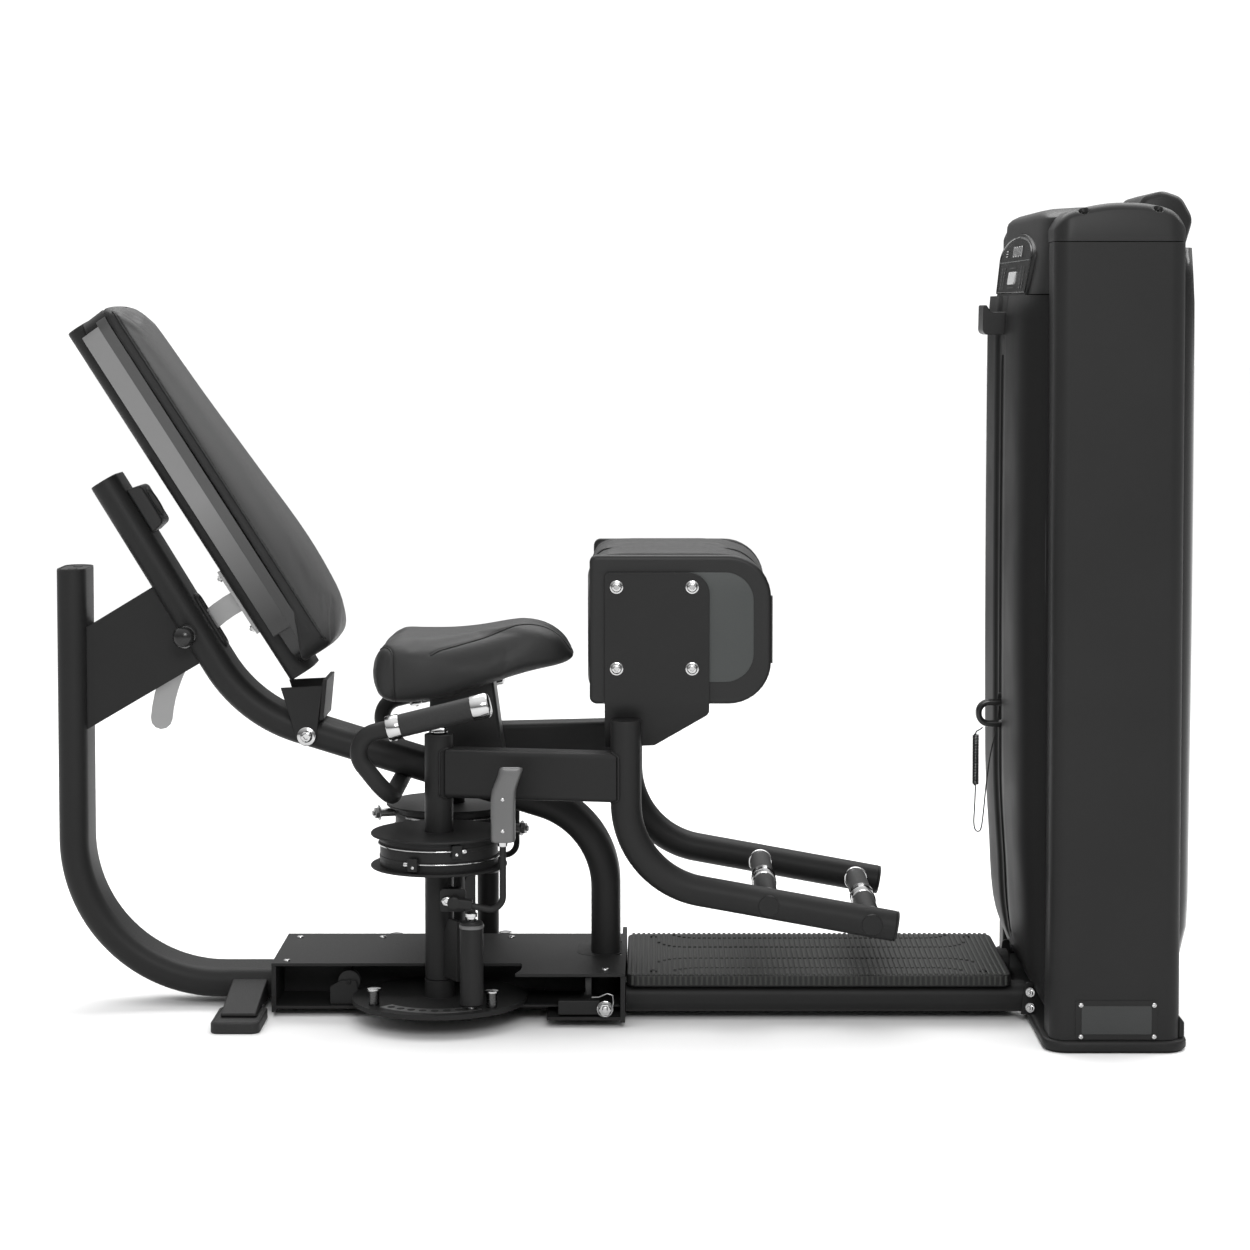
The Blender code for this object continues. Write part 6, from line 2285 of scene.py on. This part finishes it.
def make_top_cap():
    """The moulded cap: an arched top with broad chamfers and recessed screws."""
    low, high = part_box("tower_top_cap")
    crest = [
        (low.x, 1.3360),
        (0.712, 1.3490),
        (0.740, 1.3590),
        (0.780, 1.3665),
        (0.815, 1.3680),
        (0.850, 1.3655),
        (0.885, 1.3560),
        (high.x, 1.3370),
    ]

    # rings of the rounded outline, drawn in towards the arched top; each ring has mirrored halves
    rows = [(0.0, None), (0.0, 0.0125), (0.0010, 0.0095), (0.0045, 0.0050), (0.0100, 0.0016), (0.0180, 0.0)]
    shape = bmesh.new()
    rings = []
    for inset, drop in rows:
        x0, x1, y0, corner = low.x + inset, high.x - inset, low.y + inset, 0.026 - inset
        half = [(x0, y0 * k / 4) for k in range(4)]
        turns = [(corner * math.cos(a), corner * math.sin(a)) for a in spaced(0, math.pi / 2, 8)]
        half += [(x0 + corner - a, y0 + corner - b) for a, b in turns]
        half += [(x, y0) for x in spaced(x0 + corner, x1 - corner, 24)[1:-1]]
        half += [(x1 - corner + b, y0 + corner - a) for a, b in turns]
        half += [(x1, y0 * k / 4) for k in (3, 2, 1, 0)]
        height = [1.3063 if drop is None else between(crest, x) - drop for x, _ in half]
        near = [shape.verts.new((x, y, z)) for (x, y), z in zip(half, height)]
        far = [shape.verts.new((x, -y, z)) for (x, y), z in zip(half[1:-1], height[1:-1])]
        rings.append((near, far))
    loops = [near + far[::-1] for near, far in rings]
    shape.faces.new(loops[0][::-1])
    for lower, upper in zip(loops, loops[1:]):
        for k in range(len(lower)):
            j = (k + 1) % len(lower)
            shape.faces.new((lower[k], lower[j], upper[j], upper[k]))
    near, far = rings[-1]
    far = [near[0]] + far + [near[-1]]
    for k in range(len(near) - 1):
        corners = [near[k], near[k + 1], far[k + 1], far[k]]
        unique = [v for i, v in enumerate(corners) if v not in corners[:i]]
        shape.faces.new(unique)
    bmesh.ops.recalc_face_normals(shape, faces=shape.faces)
    cap = piece("top_cap", shape, "black_plastic", "frame", ["tower_top_cap"])
    holes, screws = [], []
    for side in (-1, 1):
        for x in (0.743, 0.862):
            spot = Vector((x, side * 0.3635, between(crest, x) - 0.0062))
            out = Vector((0, side * 0.68, 0.73)).normalized()
            holes.append(rod(spot - out * 0.007, spot + out * 0.03, 0.0080))
            screws.append(button_screw(spot - out * 0.0068, out, 0.0056))
    holes.append(block((0.725, -0.060, 1.25), (0.905, 0.060, 1.345)))
    carved(cap, *holes)
    piece("cap_screws", merged(*screws), "powder_coat", "frame")

    low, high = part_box("pulley_cover")
    outline = rounded(
        [
            (0.9085, 1.302),
            (0.950, 1.302),
            (0.9641, 1.350),
            (0.944, 1.386),
            (0.912, 1.3972),
            (0.880, 1.388),
            (0.868, 1.366),
            (0.9085, 1.3600),
        ],
        [0, 0.006, 0.030, 0.026, 0.030, 0.016, 0, 0],
        8,
    )
    rings = []
    for y, inset in (
        (-0.110, 0.010), (-0.1085, 0.005), (-0.102, 0.0), (0.102, 0.0), (0.1085, 0.005), (0.110, 0.010)
    ):
        middle = Vector((0.918, 0, 1.345))
        ring = []
        for x, z in outline:
            away = Vector((x, 0, z)) - middle
            ring.append(middle + away * (1 - inset / 0.05) + SIDE * y)
        rings.append(ring)
    piece("pulley_hood", lofted(rings), "black_plastic", "frame", ["pulley_cover"], edge=0.002)


def make_stack():
    """Iron plates with their gaps and pin holes, where CAD has one block."""
    low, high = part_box("weight_stack")
    count = 17
    start = low.z + 0.030
    pitch = (high.z - start) / count
    plates = []
    for k in range(count):
        z = start + k * pitch
        plates.append(block((low.x, low.y, z + 0.0008), (high.x, high.y, z + pitch - 0.0008)))
    feet = [rod((0.800, y, low.z), (0.800, y, start), 0.022) for y in (-0.08, 0.08)]
    piece("stack_plates", merged(*plates), "weight_iron", "frame", ["weight_stack"], edge=0.0025, segments=2)
    piece("stack_feet", merged(*feet), "black_rubber", "frame")
    holes = []
    for k in range(count):
        z = start + (k + 0.5) * pitch
        holes.append(
            turned(
                [(0.0036, 0.002), (0.0066, 0.0), (0.0066, -0.0006), (0.0050, -0.0008)],
                (low.x, 0, z),
                (1, 0, 0),
                20,
            )
        )
    piece("stack_pin_rings", merged(*holes), "bare_steel", "frame")


def make_selector_pin():
    """A moulded loop on a steel shaft."""
    x0, x1, half = 0.6145, 0.686, 0.0238
    rows = (
        (-0.0075, 0.0030),
        (-0.0062, 0.0008),
        (-0.0035, 0.0),
        (0.0035, 0.0),
        (0.0062, 0.0008),
        (0.0075, 0.0030),
    )
    loop = []
    wall = 0.0105
    for y, inset in rows:
        outer = rounded(rect(x0 + inset, -half + inset, x1 - inset, half - inset), half - 0.001 - inset, 10)
        loop.append([Vector((x, y, PIN_Z + z)) for x, z in outer])
    for y, inset in rows[::-1]:
        low, high = x0 + wall - inset, x1 - 0.022 + inset
        inner = rounded(
            rect(low, -half + wall - inset, high, half - wall + inset), half - wall - 0.001 + inset * 0.5, 10
        )
        loop.append([Vector((x, y, PIN_Z + z)) for x, z in inner])
    piece(
        "pin_loop",
        lofted(loop, closed=True),
        "black_rubber",
        "selector_pin",
        ["selector_pin"],
        look="gloss_plastic",
    )
    piece(
        "pin_shaft",
        rod((x1 - 0.012, 0, PIN_Z), (0.790, 0, PIN_Z), 0.0047),
        "bare_steel",
        "selector_pin",
        edge=0.001,
    )


# ---------------------------------------------------------------- everything


PARTS = (
    make_rear_frame,
    make_seat_frame,
    make_pull_pin,
    make_base,
    make_platform,
    make_beam_end,
    make_backrest,
    make_seat,
    make_seat_post,
    make_handles,
    make_arm,
    make_drum,
    make_disc,
    make_index_sector,
    make_lever,
    make_pad_shell,
    make_pad_plate,
    make_pad_cushion,
    make_cables,
    make_shrouds,
    make_console,
    make_hook,
    make_tower,
    make_top_cap,
    make_stack,
    make_selector_pin,
)


def main():
    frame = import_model()
    make_stage()
    make_tether()
    carry_over(frame)
    for make in PARTS:
        make()


main()
